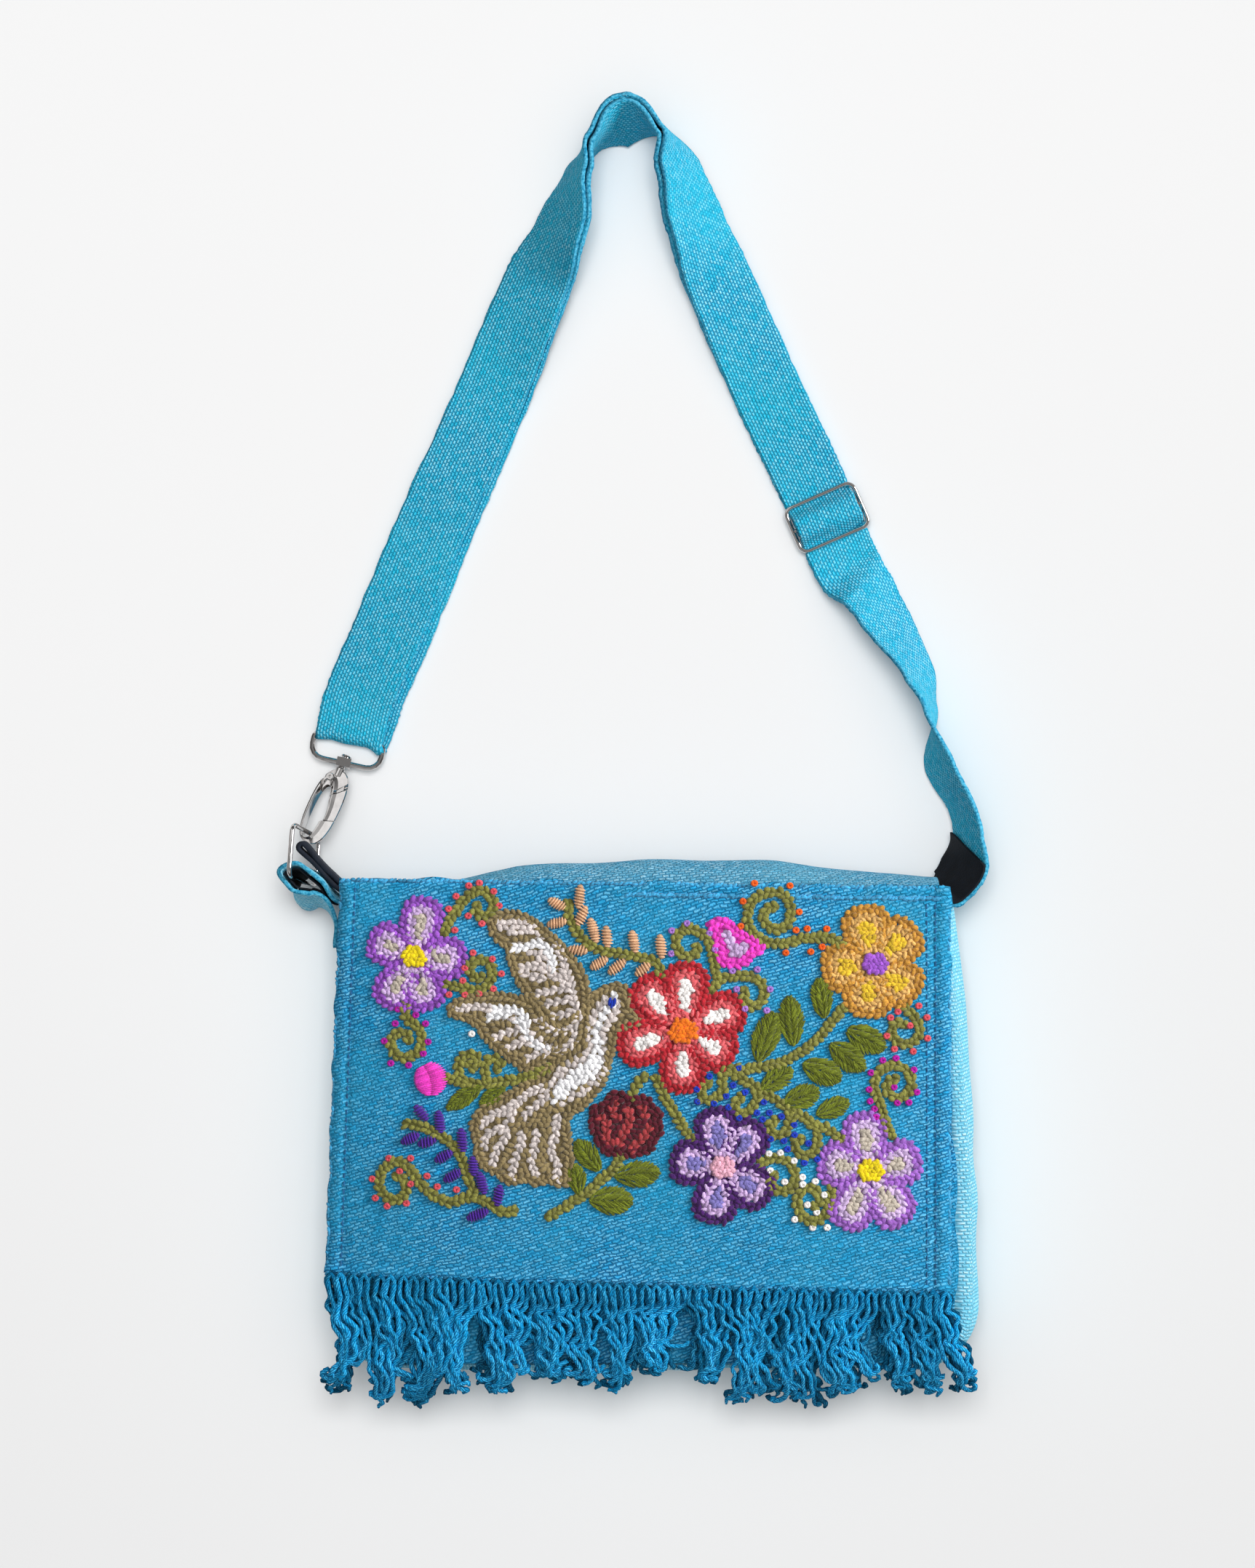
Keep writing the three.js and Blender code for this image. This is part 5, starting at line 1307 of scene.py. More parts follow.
# x, y along each stem or curl
CURLS = [
    [(-96.3, 90.6), (-93.5, 96.2), (-89.7, 101.2), (-86, 106.8), (-81.6, 109.9), (-77.9, 110.6),
     (-74.5, 108.4), (-72.6, 103.7), (-73.5, 100), (-76.6, 98.1), (-80.1, 98.7), (-81.3, 101.3),
     (-80.3, 103)],
    [(-94.7, 65.7), (-91, 64.5), (-86, 63.6), (-81, 62.6), (-76.6, 63.9), (-73.2, 67.6), (-72.6, 72),
     (-75.4, 76.3), (-79.1, 77.3), (-82.9, 75.7), (-83.7, 72), (-81.6, 68.7), (-78.5, 68.8)],
    [(-114, 56.1), (-114.8, 51.4), (-112.8, 47.7), (-109, 45.8), (-106.8, 42.1), (-106.5, 37.1),
     (-108.4, 33.4), (-112.1, 30.9), (-116.5, 30.6), (-119.9, 32.7), (-121.5, 36.5), (-120.5, 40.8),
     (-117.4, 42.4), (-114, 41.8), (-113.1, 38.8)],
    [(33.1, 62.6), (35.1, 67.2), (34.1, 73.2), (33.1, 79.9), (31.4, 85.2), (28.4, 89.2), (23.7, 91.9),
     (19.1, 91.6), (15.4, 87.9), (15.7, 83.2), (18.4, 79.9), (21.7, 78.6), (25.1, 80.6), (25.4, 83.2)],
    [(35.7, 67.9), (40.4, 68.9), (45.8, 69.4), (51.8, 69.1), (56.4, 65.9), (57.8, 60.6), (55.1, 55.9),
     (51.1, 55.1), (47.9, 58.6), (48.3, 62.4)],
    [(94.6, 84.4), (90.9, 87.2), (85.9, 88.1), (80.9, 87.5), (75.9, 87.2), (70.3, 85.6), (65.3, 85),
     (60.3, 85.3), (55.4, 87.8), (51.6, 91.5), (49.8, 95.9), (50.4, 101.5), (53.5, 106.5),
     (58.5, 108.9), (64.1, 109.6), (68.4, 107.1), (70.9, 101.5), (70.3, 96.5), (67.8, 92.8),
     (63.5, 91.8), (59.1, 93.7), (57.2, 97.7), (59.1, 101.5), (62.8, 102.4)],
    [(125.7, 54.2), (129.5, 50.4), (132, 46.1), (132.6, 42.3), (130.1, 38.6), (125.7, 36.7),
     (121.4, 38), (118.9, 41.7), (119.5, 45.4), (123.2, 47.3), (125.1, 46.1)],
    [(95.8, 54.2), (89.6, 46.7), (83.4, 39.8), (75.9, 33.6), (68.4, 29.2), (62.2, 27.4), (52.9, 25.5),
     (43.5, 23.6)],
    [(-62.3, -42.3), (-67.6, -43.3), (-72.9, -39.9), (-78.9, -36.6), (-86.3, -36.6), (-92.9, -38.6),
     (-99.6, -35.9), (-104.9, -31.9), (-109.6, -26.6), (-113.6, -21.2), (-117.6, -19.2),
     (-122.3, -20.6), (-126, -24.6), (-127, -29.9), (-124.3, -35.2), (-119.6, -37.9), (-115, -35.9),
     (-113.6, -31.2), (-115.6, -27.2), (-118.6, -26.2)],
    [(-94.9, 21.1), (-90.9, 19.5), (-83.6, 18.8), (-76.9, 17.5), (-68.9, 19.1), (-60.9, 20.1),
     (-54.2, 22.1), (-45.6, 25.5)],
    [(-87.6, 19.5), (-88.9, 24.1), (-88.3, 29.1), (-84.9, 32.1), (-80.9, 31.5), (-79.7, 28.1),
     (-81.9, 25.6), (-84.1, 27.6)],
    [(-75.6, 20.1), (-76.6, 25.5), (-74.9, 29.1), (-70.9, 30.1), (-68.4, 27.6), (-70.4, 25.6)],
    [(-113.6, -1.2), (-109, -1.9), (-102.9, -3.9), (-96.9, -7.2), (-91.6, -11.2), (-87.6, -16.6),
     (-85.6, -22.6), (-83.6, -28.6), (-81.6, -32.6), (-82.6, -35.2)],
    [(44.1, 25.5), (40.5, 25.6), (37.9, 23), (37, 19.5), (38.1, 16.3), (35.7, 12.8), (32.1, 10.6),
     (28.5, 10.6), (27.4, 13.7), (28.5, 16.8), (30.8, 18.9)],
    [(42.3, 23.5), (47.7, 19.9), (52.1, 17.7), (53.9, 14.6), (53.9, 10.6), (52.1, 7), (48.6, 4.3),
     (44.8, 4.8), (43.3, 7), (44.5, 10.6), (46.3, 12.1)],
    [(54.3, 14.6), (58.3, 12.8), (61.9, 11.5), (65.5, 8.8), (68.6, 6.1), (70.3, 3), (69.2, -1.4),
     (67.7, -5), (64.1, -6.8), (60.8, -4.6), (60.3, -0.8), (62.8, 0.6)],
    [(70.8, 4.3), (75.2, 3), (79.2, -0.1), (82.8, -2.3), (83, -7.2), (82.4, -11.7), (80.1, -15.2),
     (75.7, -15.9), (72.8, -13.5), (72.3, -9.9), (75, -8.3)],
    [(78.7, 0.4), (82.6, -2.9), (87, -2.9), (90.3, -5.7), (94.8, -8.5)],
    [(56.1, -19.2), (60.1, -17.7), (64.6, -17.5), (69, -19.2), (71.7, -22.8), (72.6, -26.8),
     (70.8, -31.2), (66.8, -33.2), (62.8, -32.4), (60.8, -28.6), (62.3, -25.5)],
    [(89.8, -32.4), (89.2, -37.4), (87, -43.5), (82.6, -47.4), (77.5, -46.8), (73.9, -42.4),
     (73.4, -36.8), (75.9, -32.4), (80.3, -31.5), (83.4, -34), (83.8, -38.5), (81.7, -40.4)],
    [(118.7, -6.8), (115.9, -0.1), (114.3, 5.4), (112, 11), (110.5, 17.1), (111.5, 22.1),
     (115.4, 25.5), (119.8, 26.9), (124.3, 25.5), (127.6, 22.1), (128.2, 17.1), (125.9, 12.7),
     (122.6, 11.1), (118.7, 12.2), (116.4, 15.4), (117.3, 18.8), (120.4, 19.8)],
    [(-11.1, -16.3), (-13.2, -20.4), (-17.3, -25), (-21.4, -28.6), (-25.5, -32.7), (-29.6, -35.8),
     (-34.7, -38.8), (-39.8, -41.9), (-45.4, -45)],
    [(0.1, 21.5), (-3, 18.5), (-6, 12.3)],
    [(5.7, 20.5), (8.3, 14.9), (11.4, 9.2), (14.9, 4.1), (18.5, -2.5), (22.6, -7.6)],
    [(-36, 103.9), (-36.3, 99.3), (-33.6, 92.6), (-28.3, 85.9), (-21, 81.9), (-13.6, 80.6),
     (-6.3, 79.2), (1.7, 77.6), (7.1, 74.6), (7.7, 70.6)],
]
# colour, and x, y of its knots
KNOTS = [
    (KNOT_RED, [(-84.4, 112.7), (-79.3, 114), (-72.4, 109.9), (-90.5, 107.6), (-94.1, 101.5),
                (-69.8, 103), (-84.6, 98.2), (-78, 94.5), (-91, 91.4), (-82.2, 80.6), (-72.9, 77.6),
                (-86.1, 73.3), (-68.5, 70.6), (-87, 67.3), (-72.3, 63.4), (-93.6, 60.6), (-85.9, 60.6),
                (-79, 61.1), (132, 55.1), (121.9, 52.4), (118.3, 49.5), (135.9, 49.5), (127.7, 45.7),
                (116.5, 40.8), (136.2, 39.5), (120.1, 34.5), (129.2, 33.3), (-122.3, -17.7),
                (-111.8, -17.6), (-117.1, -23.8), (-130.3, -27.7), (-103.9, -26), (-111.8, -29.9),
                (-98.9, -31), (-89.7, -32.4), (-128.8, -36.8), (-123.1, -40.6), (-113.8, -39.1)]),
    (MAGENTA, [(-118.1, 53.6), (-109.5, 50.8), (-119.4, 46.7), (-104.8, 46.7), (-124.7, 38.3),
               (-103.6, 38), (-105.9, 32.4), (-121.5, 27.7), (-112.9, 26.8), (114.5, 29.1),
               (120.9, 30.1), (129.5, 24.5), (108.8, 23.2), (107.9, 15.2), (108.4, 9.6), (130.9, 13.8),
               (121.5, 8.8), (127, 8.9), (110.4, 6), (111.2, 2.1), (119.9, 16.3)]),
    (KNOT_VIOLET, [(20.7, 94.6), (13.4, 91.2), (13.1, 80.2), (31.4, 89.9), (34.1, 82.2), (42.4, 71.9),
                   (54.4, 72.6), (44.4, 63.2), (60.4, 63.2), (48.4, 53.9), (58.8, 53.1)]),
    (KNOT_ORANGE, [(53.2, 113.9), (70.3, 112.7), (47.6, 105.2), (74.7, 100.1), (46.5, 93.3),
                   (73.1, 91.4), (78.5, 92.1), (87.9, 92), (68.1, 80.6), (80.1, 81.1), (85.6, 83.4)]),
    (BLUE, [(45.4, 25.7), (31.2, 21.7), (25.2, 15.5), (25.6, 9.7), (33.4, 8.8), (39.2, 12.3),
            (42.5, 17.5), (48.3, 14.1), (40.3, 7), (45.4, 1.9), (57.2, 9.5), (53.9, 4.3), (59.9, 4.3),
            (56.6, 1.2), (65.7, 2.6), (71.7, -1.4), (71.9, -6.3), (60.6, -8.1), (66.8, -9),
            (68.6, -13), (78.6, -10.3), (76.6, -19.5), (82.8, -17.9)]),
    (WHITE, [(59.7, -15.2), (65.2, -14.8), (71.7, -18.6), (60.3, -23.2), (67.2, -28.6), (75.7, -26.4),
             (75.9, -29.9), (81.9, -28.4), (86.2, -34.9), (78.1, -39.6), (82.6, -43.2), (72, -46.6),
             (80.6, -50.5), (87.6, -50.5), (-82.6, 41.9)]),
]
# x, y, angle, length of wound bars
TAN_BARS = [(-31, 107.3, 85, 11.3), (-30, 98.2, 65, 10), (-24.3, 91.2, 105, 12), (-17.8, 88.2, 95, 10.3),
            (-4.9, 85.9, 100, 10.7), (8.1, 83.6, 95, 11.3), (-41.9, 103.9, 150, 9.3),
            (-41.9, 94.8, 10, 9.3), (-31.8, 81.9, 170, 9), (-21.6, 75.6, 30, 9.3), (-13, 73.9, 38, 10),
            (-0.6, 72.7, 38, 8.7)]
INDIGO_BARS = [(-106.8, 4.1, -50, 9), (-97.9, -0.2, 97, 10.7), (-112, -8.2, 25, 9.3),
               (-103.9, -9.8, 15, 9), (-87.1, -8.9, 95, 11.3), (-95.9, -16.6, 28, 9.3),
               (-81.7, -21.2, 95, 9.3), (-91.6, -25.8, 30, 9.3), (-77.6, -29.2, 105, 10.7),
               (-69.7, -35.1, 80, 10), (-79.6, -44.3, 20, 10.7)]
# root and tip, width
LEAVES = [
    ((86.5, 49.8), (84, 68.5), 10), ((71.6, 36.7), (69.7, 59.8), 11.8), ((54.4, 29.2), (62.8, 52.3), 12.5),
    ((97.7, 43.6), (115.8, 34.8), 12.5), ((89.6, 36.7), (105.8, 24.9), 11.8),
    ((76.5, 27.4), (94.6, 20.5), 12.5), ((-78.3, 16.8), (-94.3, 6.1), 8),
    ((-66.9, 16.1), (-78.3, 8.1), 7.3),
    ((56.6, 15.5), (70.8, 25.2), 10.2), ((67.5, 8.8), (83.9, 15), 11.1), ((83.1, 3.5), (98.1, 9.6), 9.5),
    ((-21.4, -23), (-32.6, -9.2), 10.2), ((-31.1, -34.2), (-33.6, -20.2), 9),
    ((-13.7, -26), (7.5, -24), 12.3), ((-25.7, -37.3), (-5.3, -37.8), 13),
]


def curls():
    sewn = Stitches()
    for line in CURLS:
        sewn.chain(line, OLIVE)
    for colour, places in KNOTS:
        for x, y in places:
            sewn.knot(x, y, colour)
    for bars, colour in ((TAN_BARS, TAN), (INDIGO_BARS, INDIGO)):
        for x, y, degrees, length in bars:
            sewn.bullion(x, y, math.radians(degrees), length, colour)
    return sewn


# x, y round each bud, and along the rows inside
BUD = [(-100.9, 28.8), (-96.3, 26.8), (-94.9, 22.1), (-95.3, 17.5), (-100.3, 13.8), (-105.6, 12.8),
       (-109, 15.5), (-110, 20.1), (-107.6, 25.5)]
CARNATION = [(-25.5, 3.6), (-24.9, 6.7), (-19.3, 8.2), (-16.3, 12.8), (-13.2, 14.4), (-10.1, 12.8),
             (-8.6, 11.3), (0.1, 11.8), (2.7, 10.8), (4.7, 7.2), (8.8, 3.6), (7.3, -0.5), (9.3, -4.1),
             (6.3, -8.1), (3.7, -13.8), (-0.9, -15.8), (-8.1, -16.8), (-10.6, -15.3), (-17.3, -15.8),
             (-21.4, -12.2), (-23.9, -7.6), (-26, -1.5)]
CARNATION_STREAKS = [
    [(-13.2, 10.3), (-15.2, 4.6), (-13.2, 2.1)], [(-20.3, 1.6), (-17.3, -2), (-18.8, -7.1), (-16.3, -10.2)],
    [(-7.6, 5.2), (-6.5, 1.1), (-10.1, -6.1), (-11.6, -10.2)], [(-0.9, 6.2), (0.1, 2.6)],
    [(2.2, -3), (0.1, -7.1), (-5, -11.7), (-6, -13.8)],
]
TREFOIL = [(31.1, 95.9), (39.1, 96.6), (45.1, 91.2), (52.4, 87.2), (58.8, 82.6), (53.1, 79.2),
           (49.1, 75.2), (43.1, 73.2), (37.1, 75.2), (34.4, 80.6), (35.1, 87.2), (31.1, 93.2)]
TREFOIL_HEART = [(39.8, 89.2), (42.4, 83.9), (43.8, 79.9), (48.4, 83.2)]


def shrunk(outline, share):
    """An outline made smaller about its middle."""
    outline = np.asarray(outline, float)
    return outline.mean(axis=0) + (outline - outline.mean(axis=0)) * share


def leaves_and_buds():
    sewn = Stitches()
    for root, tip, width in LEAVES:
        sewn.leaf(root, tip, width, LEAF_GREEN)
    carnation = Stitches()
    for streak in CARNATION_STREAKS:
        carnation.chain(streak, BRICK, width=5.0)
    carnation.chain(shrunk(CARNATION, 0.9), MAROON, closed=True)
    carnation.fill(CARNATION, MAROON)
    trefoil = Stitches()
    trefoil.chain(TREFOIL_HEART, LILAC, width=5.6)
    trefoil.chain(shrunk(TREFOIL, 0.84), PINK, closed=True)
    trefoil.fill(TREFOIL, PINK)
    # Satin stitch: long threads side by side across the bud.
    bud = np.array(BUD)
    middle = bud.mean(axis=0)
    half_length, half_width, step = 7.9, 8.2, 0.95
    for off in np.arange(-7.4, 7.5, step):
        half = half_length * math.sqrt(max(0.05, 1 - (off / half_width) ** 2))
        turn = 0.28 + 0.03 * off
        for share in (-0.45, 0.45):
            x = middle[0] + math.cos(turn) * half * share - math.sin(turn) * off
            y = middle[1] + math.sin(turn) * half * share + math.cos(turn) * off
            sewn.lobes(x, y, turn, length=half * 1.25, width=1.35, height=3.4, lift=1.2, colour=PINK)
    sewn.take(carnation)
    sewn.take(trefoil)
    return sewn


# x, y along the edges of the dove's wings, round its patches, and along its rows
UPPER_WING_TOP = [(-74.5, 95.6), (-68.5, 99.4), (-59.2, 98.8), (-52.4, 95.1), (-44.9, 88.8),
                  (-39.1, 83.2), (-31.6, 73.8), (-28.3, 67.2), (-27.1, 59.9), (-27.6, 52.9)]
UPPER_WING_LOW = [(-74.5, 94.7), (-71.2, 88.1), (-65.4, 83.9), (-64.2, 77.7), (-62.3, 72.1),
                  (-59.2, 65.8), (-54.8, 59.5), (-50.6, 55.1), (-46.4, 50.1), (-38.4, 46.6)]
LOWER_WING_TOP = [(-93.5, 54.6), (-87.2, 58.3), (-77.9, 60.2), (-68.5, 60.4), (-59.2, 58.3),
                  (-54.2, 56), (-49.9, 50.1), (-43.6, 45.2), (-36, 42.4)]
LOWER_WING_LOW = [(-93.5, 53.6), (-92.2, 51.5), (-84.8, 49.6), (-79.2, 45.9), (-76.1, 40.4),
                  (-71, 35.8), (-65.4, 31.6), (-61.1, 27.8), (-56.2, 25), (-50.6, 27.8), (-46.4, 30.2)]
DOVE_BODY = [(-11.6, 66.2), (-7.4, 63.4), (-7.7, 55.3), (-1.1, 49.2), (-10.3, 46.6), (-13.7, 43.1),
             (-15, 35.2), (-17, 27.2), (-19.6, 20.5), (-23.8, 13.9), (-29.7, 7.6), (-36.3, 3.4),
             (-37.4, -1.8), (-36.3, -11.3), (-35.6, -21.2), (-37, -29.9), (-41.5, -30.4),
             (-46.9, -28.3), (-51.7, -30.4), (-55.5, -28), (-58.3, -27.9), (-64.9, -29.9),
             (-70.2, -25.6), (-75.7, -23.1), (-79.6, -17.9), (-81, -9.9), (-82.7, -3.2), (-81, 2.1),
             (-77.6, 6.2), (-67.7, 11.4), (-55.6, 18.1), (-48.2, 22.2), (-43.6, 29.2), (-37, 32.7),
             (-30.4, 38.6), (-28.3, 47.3), (-27.6, 55.3), (-26, 58.5), (-21.7, 62.7)]
DOVE_BREAST = [(-23.4, 49.3), (-19.6, 49.3), (-19.9, 41.9), (-19.6, 33.8), (-20.9, 27.5), (-22.7, 23.2),
               (-26.5, 20.1), (-31.5, 16.3), (-36.4, 13.8), (-40.8, 9.5), (-43.9, 7.0), (-45.5, 9.5),
               (-47.0, 12.0), (-42.7, 15.7), (-40.8, 19.4), (-36.4, 23.2), (-30.2, 26.3), (-25.2, 31.9),
               (-24.0, 38.1), (-23.7, 43.1)]
BREAST_EDGE = [(-26.5, 48.1), (-23.4, 53.1), (-19.0, 53.1), (-15.9, 48.1), (-18.4, 43.1), (-17.4, 36.9),
               (-17.4, 28.8), (-18.4, 23.2), (-22.1, 18.2), (-26.5, 13.8), (-32.7, 10.7), (-37.7, 8.2),
               (-42.7, 6.0), (-46.4, 9.5), (-48.9, 11.3), (-45.2, 16.9), (-43.3, 21.9), (-39.6, 26.9),
               (-34.6, 29.4), (-29.6, 31.3), (-27.1, 35.0), (-27.7, 41.2)]
WING_TIP = [(-71.9, 94.4), (-67.5, 96.9), (-57.8, 95.8), (-50.7, 92.0), (-50.2, 89.3), (-56.7, 87.9),
            (-64.3, 89.6), (-69.2, 91.1)]
UPPER_WING_PALE = [(-63.2, 83.8), (-56.7, 85.5), (-49.1, 87.6), (-43.7, 83.3), (-40.4, 77.9), (-38.2, 71.4),
                   (-40.4, 67.0), (-46.9, 65.9), (-54.5, 68.1), (-59.4, 72.4), (-58.9, 74.6), (-50.2, 76.2),
                   (-51.3, 79.0), (-57.8, 80.6), (-62.1, 81.7)]
LOWER_WING_PALE = [(-89.3, 54.0), (-80.6, 55.6), (-65.4, 54.5), (-58.9, 52.4), (-55.1, 46.4), (-50.2, 41.0),
                   (-43.7, 37.7), (-32.8, 41.0), (-32.3, 38.2), (-40.4, 33.4), (-49.1, 32.3), (-55.6, 37.7),
                   (-61.0, 43.1), (-64.8, 48.6), (-73.0, 48.6), (-74.1, 51.8)]
SHOULDER = [(-36, 46), (-28, 47), (-27, 38), (-36, 30), (-44, 27), (-46, 31), (-38, 36)]
PEARL_LINES = [
    [(-14.5, 60), (-16.5, 55), (-19.5, 51), (-21.5, 46)],
    [(-60.7, 48.1), (-57.0, 43.7), (-55.1, 39.4), (-51.4, 36.3), (-46.4, 34.4)],
    [(-74.1, 49.6), (-69.7, 50.5), (-65.4, 51.3)],
    [(-71.9, 53.4), (-65.4, 53.8), (-58.9, 51.8), (-56.1, 46.9)],
    [(-62.7, 82.8), (-56.7, 83.3), (-50.2, 84.9), (-46.4, 81.7), (-43.7, 75.7), (-44.7, 72.4)],
]
CREAM_LINES = [
    # neck
    [(-12.6, 56), (-14.5, 51), (-17.5, 47)], [(-19, 58), (-22.5, 53), (-25, 48)],
    # tail feathers
    [(-77.6, -1.1), (-73.8, 2.0), (-67.6, 5.1), (-62.6, 8.2), (-58.9, 10.7), (-55.1, 13.8),
     (-48.9, 16.3)],
    [(-76.6, -12.0), (-76.0, -7.4), (-73.2, -4.9), (-68.8, -3.6), (-65.1, -0.5), (-63.2, 3.9),
     (-61.4, 8.2)],
    [(-72.6, -19.8), (-71.3, -15.5), (-68.2, -10.5), (-65.7, -5.5)],
    [(-63.2, -26.1), (-62.6, -21.1), (-60.1, -14.2), (-58.2, -6.1)],
    [(-52.0, -24.8), (-53.9, -18.6), (-52.0, -11.7), (-51.7, -5.5)],
    [(-42.0, -27.3), (-41.4, -21.1), (-44.5, -13.6), (-42.7, -7.4), (-41.4, 2.0)],
    [(-57.0, 3.2), (-52.6, 7.0), (-48.9, 10.7), (-46.4, 13.2)],
    # lower wing
    [(-71.3, 40.0), (-66.3, 42.5), (-60.7, 43.7)], [(-65.1, 35.0), (-60.7, 37.5), (-55.1, 38.1)],
    [(-55.8, 30.0), (-52.6, 31.9), (-47.7, 32.5)],
    [(-45.2, 33.8), (-40.8, 34.4), (-36.4, 35.9), (-32.7, 40.0)],
    [(-50.1, 48.1), (-47.7, 45.6), (-42.7, 43.1), (-36.4, 43.7), (-32.7, 46.8)],
    [(-90.3, 53.4), (-81.7, 54.9), (-74.1, 54.2)],
    # upper wing
    [(-50.7, 61.0), (-43.7, 62.7), (-36.1, 64.3)], [(-45.8, 56.2), (-37.1, 58.3)],
    [(-43.7, 50.2), (-36.1, 51.8)], [(-37.1, 71.4), (-35.0, 64.8), (-33.3, 56.2), (-31.2, 49.6)],
    [(-58.9, 73.0), (-50.2, 74.1), (-41.5, 68.6)], [(-56.7, 70.3), (-49.1, 68.1)],
    [(-41.5, 84.4), (-38.2, 75.7), (-39.3, 67.0)],
]


def dove():
    """Pale rows and patches first, then khaki outlines, then khaki wherever cloth still shows."""
    sewn = Stitches()
    for lines, colour in ((PEARL_LINES, PEARL), (CREAM_LINES, CREAM)):
        for line in lines:
            sewn.chain(line, colour, width=4.6, height=2.9)
    sewn.fill(DOVE_BREAST, PEARL, lift=1.1)
    sewn.fill(BREAST_EDGE, CREAM, lift=1.0)
    for pale in (WING_TIP, UPPER_WING_PALE, LOWER_WING_PALE):
        sewn.fill(pale, CREAM, lift=1.0)
    wings = [np.vstack([top, low[::-1]]) for top, low in ((UPPER_WING_TOP, UPPER_WING_LOW),
                                                          (LOWER_WING_TOP, LOWER_WING_LOW))]
    for outline in [*wings, DOVE_BODY]:
        sewn.chain(shrunk(outline, 0.97).tolist(), KHAKI, closed=True, width=4.8)
        sewn.fill(outline, KHAKI)
    sewn.fill(SHOULDER, KHAKI)
    eye_x, eye_y = [-14.2, -15.4, -16.4], [57.2, 56.2, 57.4]
    sewn.lobes(eye_x, eye_y, turn=1.4, length=4.6, width=1.9, height=2.6, lift=2.4, colour=BLUE)
    return sewn


def hem_stitches():
    """Backstitch along the hems, in thread a little darker than the cloth, and the soft loops of the
    cloth's own yarn along its edges."""
    sewn = Stitches()
    left, right = (FLAP_BOTTOM_LEFT, FLAP_TOP_LEFT), (FLAP_BOTTOM_RIGHT, FLAP_TOP_RIGHT)
    top, bottom = (FLAP_TOP_LEFT, FLAP_TOP_RIGHT), (FLAP_BOTTOM_LEFT, FLAP_BOTTOM_RIGHT)
    second_row = -HEM - 4.2
    for (start, stop), inset in ((left, HEM), (right, -HEM), (right, second_row)):
        t = np.linspace(0.03, 0.97, 48)
        x, y = lerp(start[0], stop[0], t) + inset, lerp(start[1], stop[1], t)
        sewn.lobes(x, y, math.pi / 2, length=2.7, width=0.9, height=0.8, lift=0.15, colour=CLOTH_THREAD)
    # edge, distance in from it, lift, share of the edge where the row starts; the last row is the top
    # hem's, which shows at the right only
    for edge, inset, lift, first in ((left, (1.0, 0), -1.5, 0.005), (right, (-1.0, 0), -0.5, 0.005),
                                     (top, (0, -1.0), -0.5, 0.005), (bottom, (0, 1.2), -0.4, 0.005),
                                     (top, (0, -6.2), 0.0, 0.47)):
        start, stop = np.array(edge)
        along = unit(stop - start)
        count = int(np.linalg.norm(stop - start) / 2.3)
        t = np.linspace(first, 0.985, count)
        place = start + (stop - start) * t[:, None] + inset + chance.uniform(-0.4, 0.4, (count, 2))
        turn = math.atan2(along[1], along[0]) + chance.uniform(-0.2, 0.9, count)
        sewn.lobes(*place.T, turn, length=3.2 * chance.uniform(0.8, 1.25, count), width=1.8, height=1.7,
                   lift=lift + chance.uniform(-0.2, 0.2, count), colour=EDGE_YARN, mix=0.22)
    return sewn


# Floor

FLOOR_HALF = 4.0  # in metres
FLOOR_GAP = 0.3  # under the bag

floor_grid = bmesh.new()
bmesh.ops.create_grid(floor_grid, x_segments=2, y_segments=2, size=FLOOR_HALF)
floor_mesh = bpy.data.meshes.new("floor")
floor_grid.to_mesh(floor_mesh)
floor_grid.free()
floor_mesh.transform(Matrix.Translation((0, 0, -FLOOR_GAP * MM)))
floor_mesh.materials.append(studio_paper())
floor = bpy.data.objects.new("floor", floor_mesh)
bpy.context.scene.collection.objects.link(floor)


def aim_light(lamp, state, pieces):
    """Lets a light shine on some pieces only, or on all but them."""
    receivers = bpy.data.collections.new(lamp.name + "_receivers")
    for piece in pieces:
        receivers.objects.link(piece)
    for receiver in receivers.collection_objects:
        receiver.light_linking.link_state = state
    lamp.light_linking.receiver_collection = receivers


# Pieces

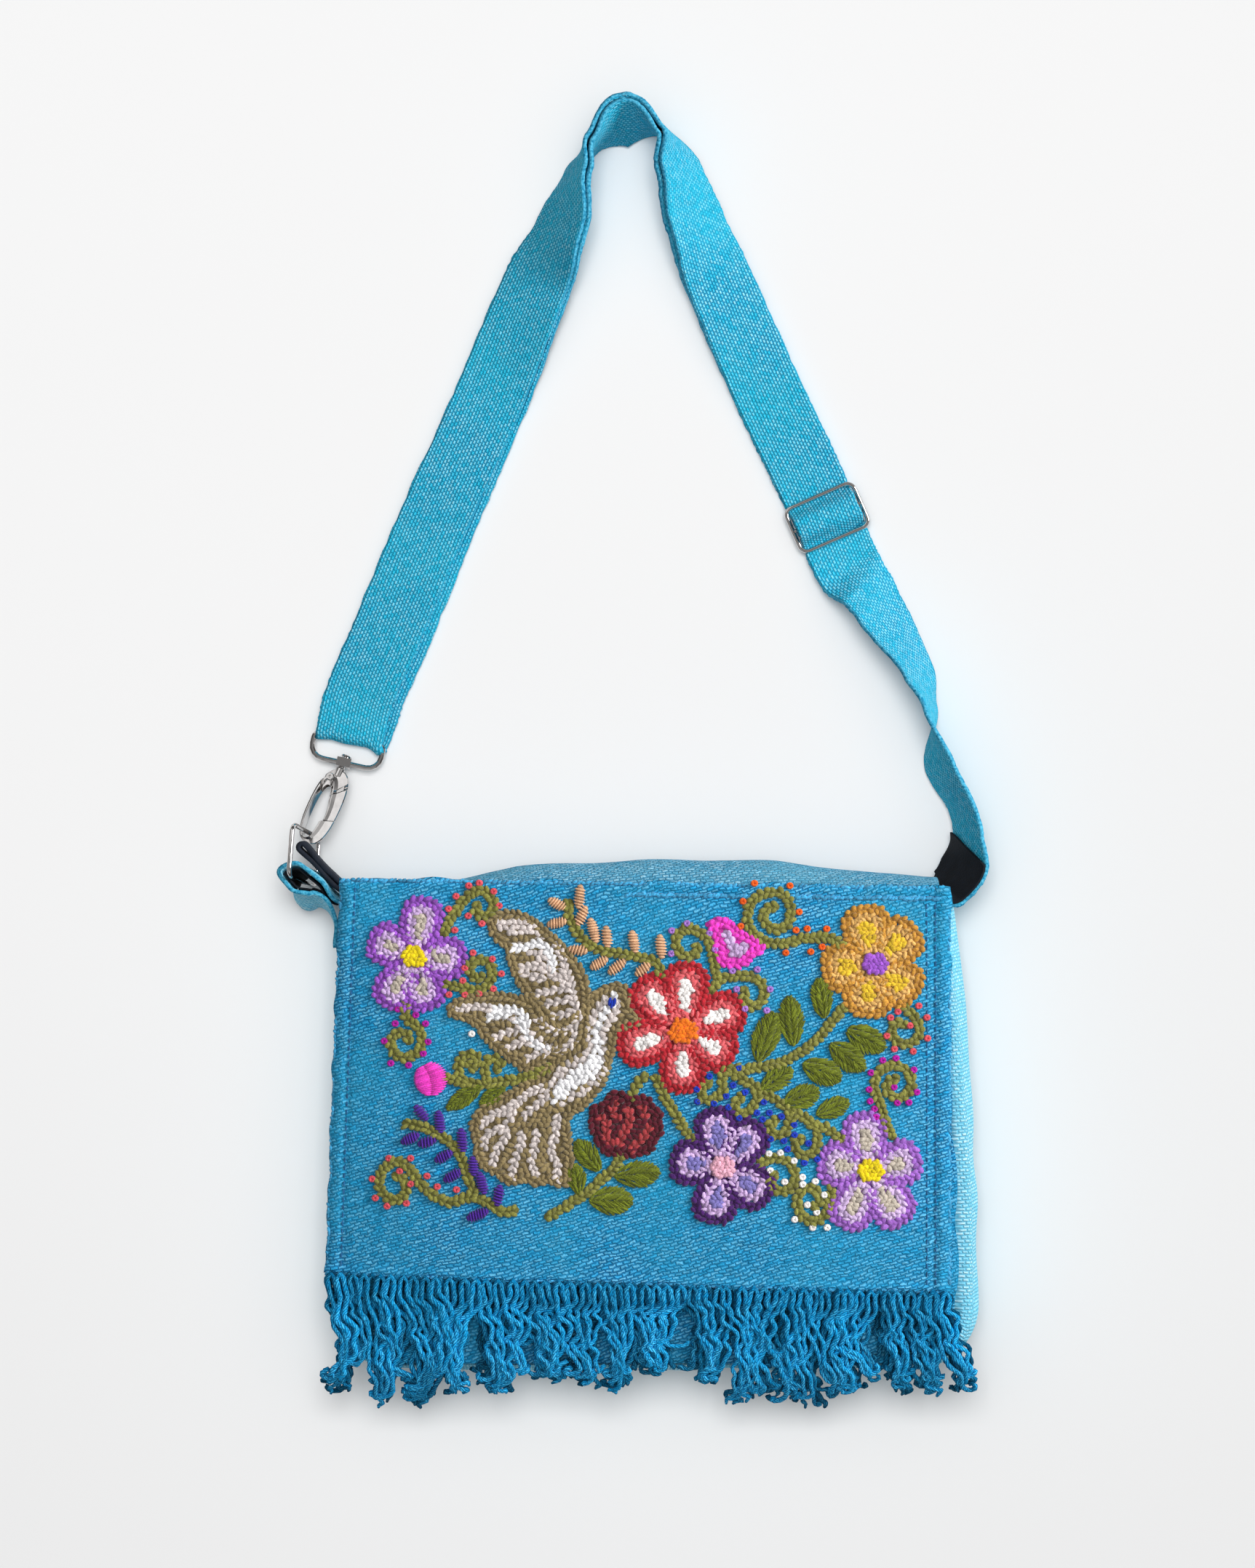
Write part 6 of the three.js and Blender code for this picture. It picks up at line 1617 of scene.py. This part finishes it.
front = finish("front_cloth", front_panel(), wool, "bag", ["front_panel"], wall=CLOTH)
back = finish("back_cloth", back_panel(), worn_wool, "bag", ["back_panel"], wall=CLOTH)
gusset_piece = finish("gusset_cloth", gusset(), gusset_cloth, "bag", ["gusset"],
                      wall=CLOTH)
flap_piece = finish("flap_cloth", flap(), wool, "bag", ["flap"], wall=2.3, edge=rolled_hem)
fringe_piece = finish("fringe_yarn", fringe(), yarn, "bag", ["fringe"])
sewn_pieces = [
    finish(name, sewn.mesh(name), crewel, "bag")
    for name, sewn in (("flowers", flowers()), ("curls_and_knots", curls()),
                       ("leaves_and_buds", leaves_and_buds()), ("dove", dove()),
                       ("hem_stitches", hem_stitches()))
]
strap_route = strap_sections()
strap_piece = finish("strap_webbing", ribbon(strap_route, 24, ragged=0.4, wave=fold_wave), webbing, "bag",
                     ["strap"], wall=2.1, side=0, edge=selvedge)
finish("strap_patch_leather", strap_patch(), leather, "bag", ["strap_patch"],
       wall=1.2, side=0, soften=0.4)
tab_route = tab_sections(inward=0, width=TAB_WIDTH, start=0, stop=10, steps=90)
tab = finish("tab_webbing", ribbon(tab_route, 10), gusset_cloth, "bag", ["tab_loop"],
             wall=TAB_THICKNESS, side=0, edge=selvedge)
lining_route = tab_sections(inward=2.6, width=TAB_WIDTH - 4, start=2.25, stop=8.8, steps=80)
finish("tab_lining_leather", ribbon(lining_route, 8), leather, "bag", ["tab_lining"],
       wall=0.8, side=0, soften=0.3)
finish("ring_keeper_leather", ribbon(keeper_sections(), 6), keeper_leather, "bag",
       ["ring_keeper"], wall=2.4, side=0, soften=1.0)
fittings = [
    finish("slider_wire", slider(), nickel, "bag", ["strap_slider"]),
    finish("tab_ring_wire", tab_ring(), nickel, "bag", ["tab_ring"]),
    finish("hook_casting", snap_hook(), nickel, "hook", ["snap_hook"], facets=16),
    finish("gate_casting", hook_gate(), nickel, "gate", ["hook_gate"], facets=16),
]
for node in ("gate_rivet", "strap_ring"):
    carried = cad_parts[node]
    fittings.append(carried)
    for material_slot in carried.material_slots:
        material_slot.material = nickel

# The paper's shadows are faint: the side light leaves it out, and the light that it has to itself is
# close to the camera, so its shadows lie behind the bag. The polished fittings mirror a white card
# and not the top light, and the hook's facets lie out of the side light's mirror image.
hook_casting, gate_casting = fittings[2:4]
aim_light(side_light, "EXCLUDE", [floor, hook_casting, gate_casting])
aim_light(top_light, "EXCLUDE", fittings)
aim_light(paper_light, "INCLUDE", [floor])
aim_light(metal_card, "INCLUDE", fittings)
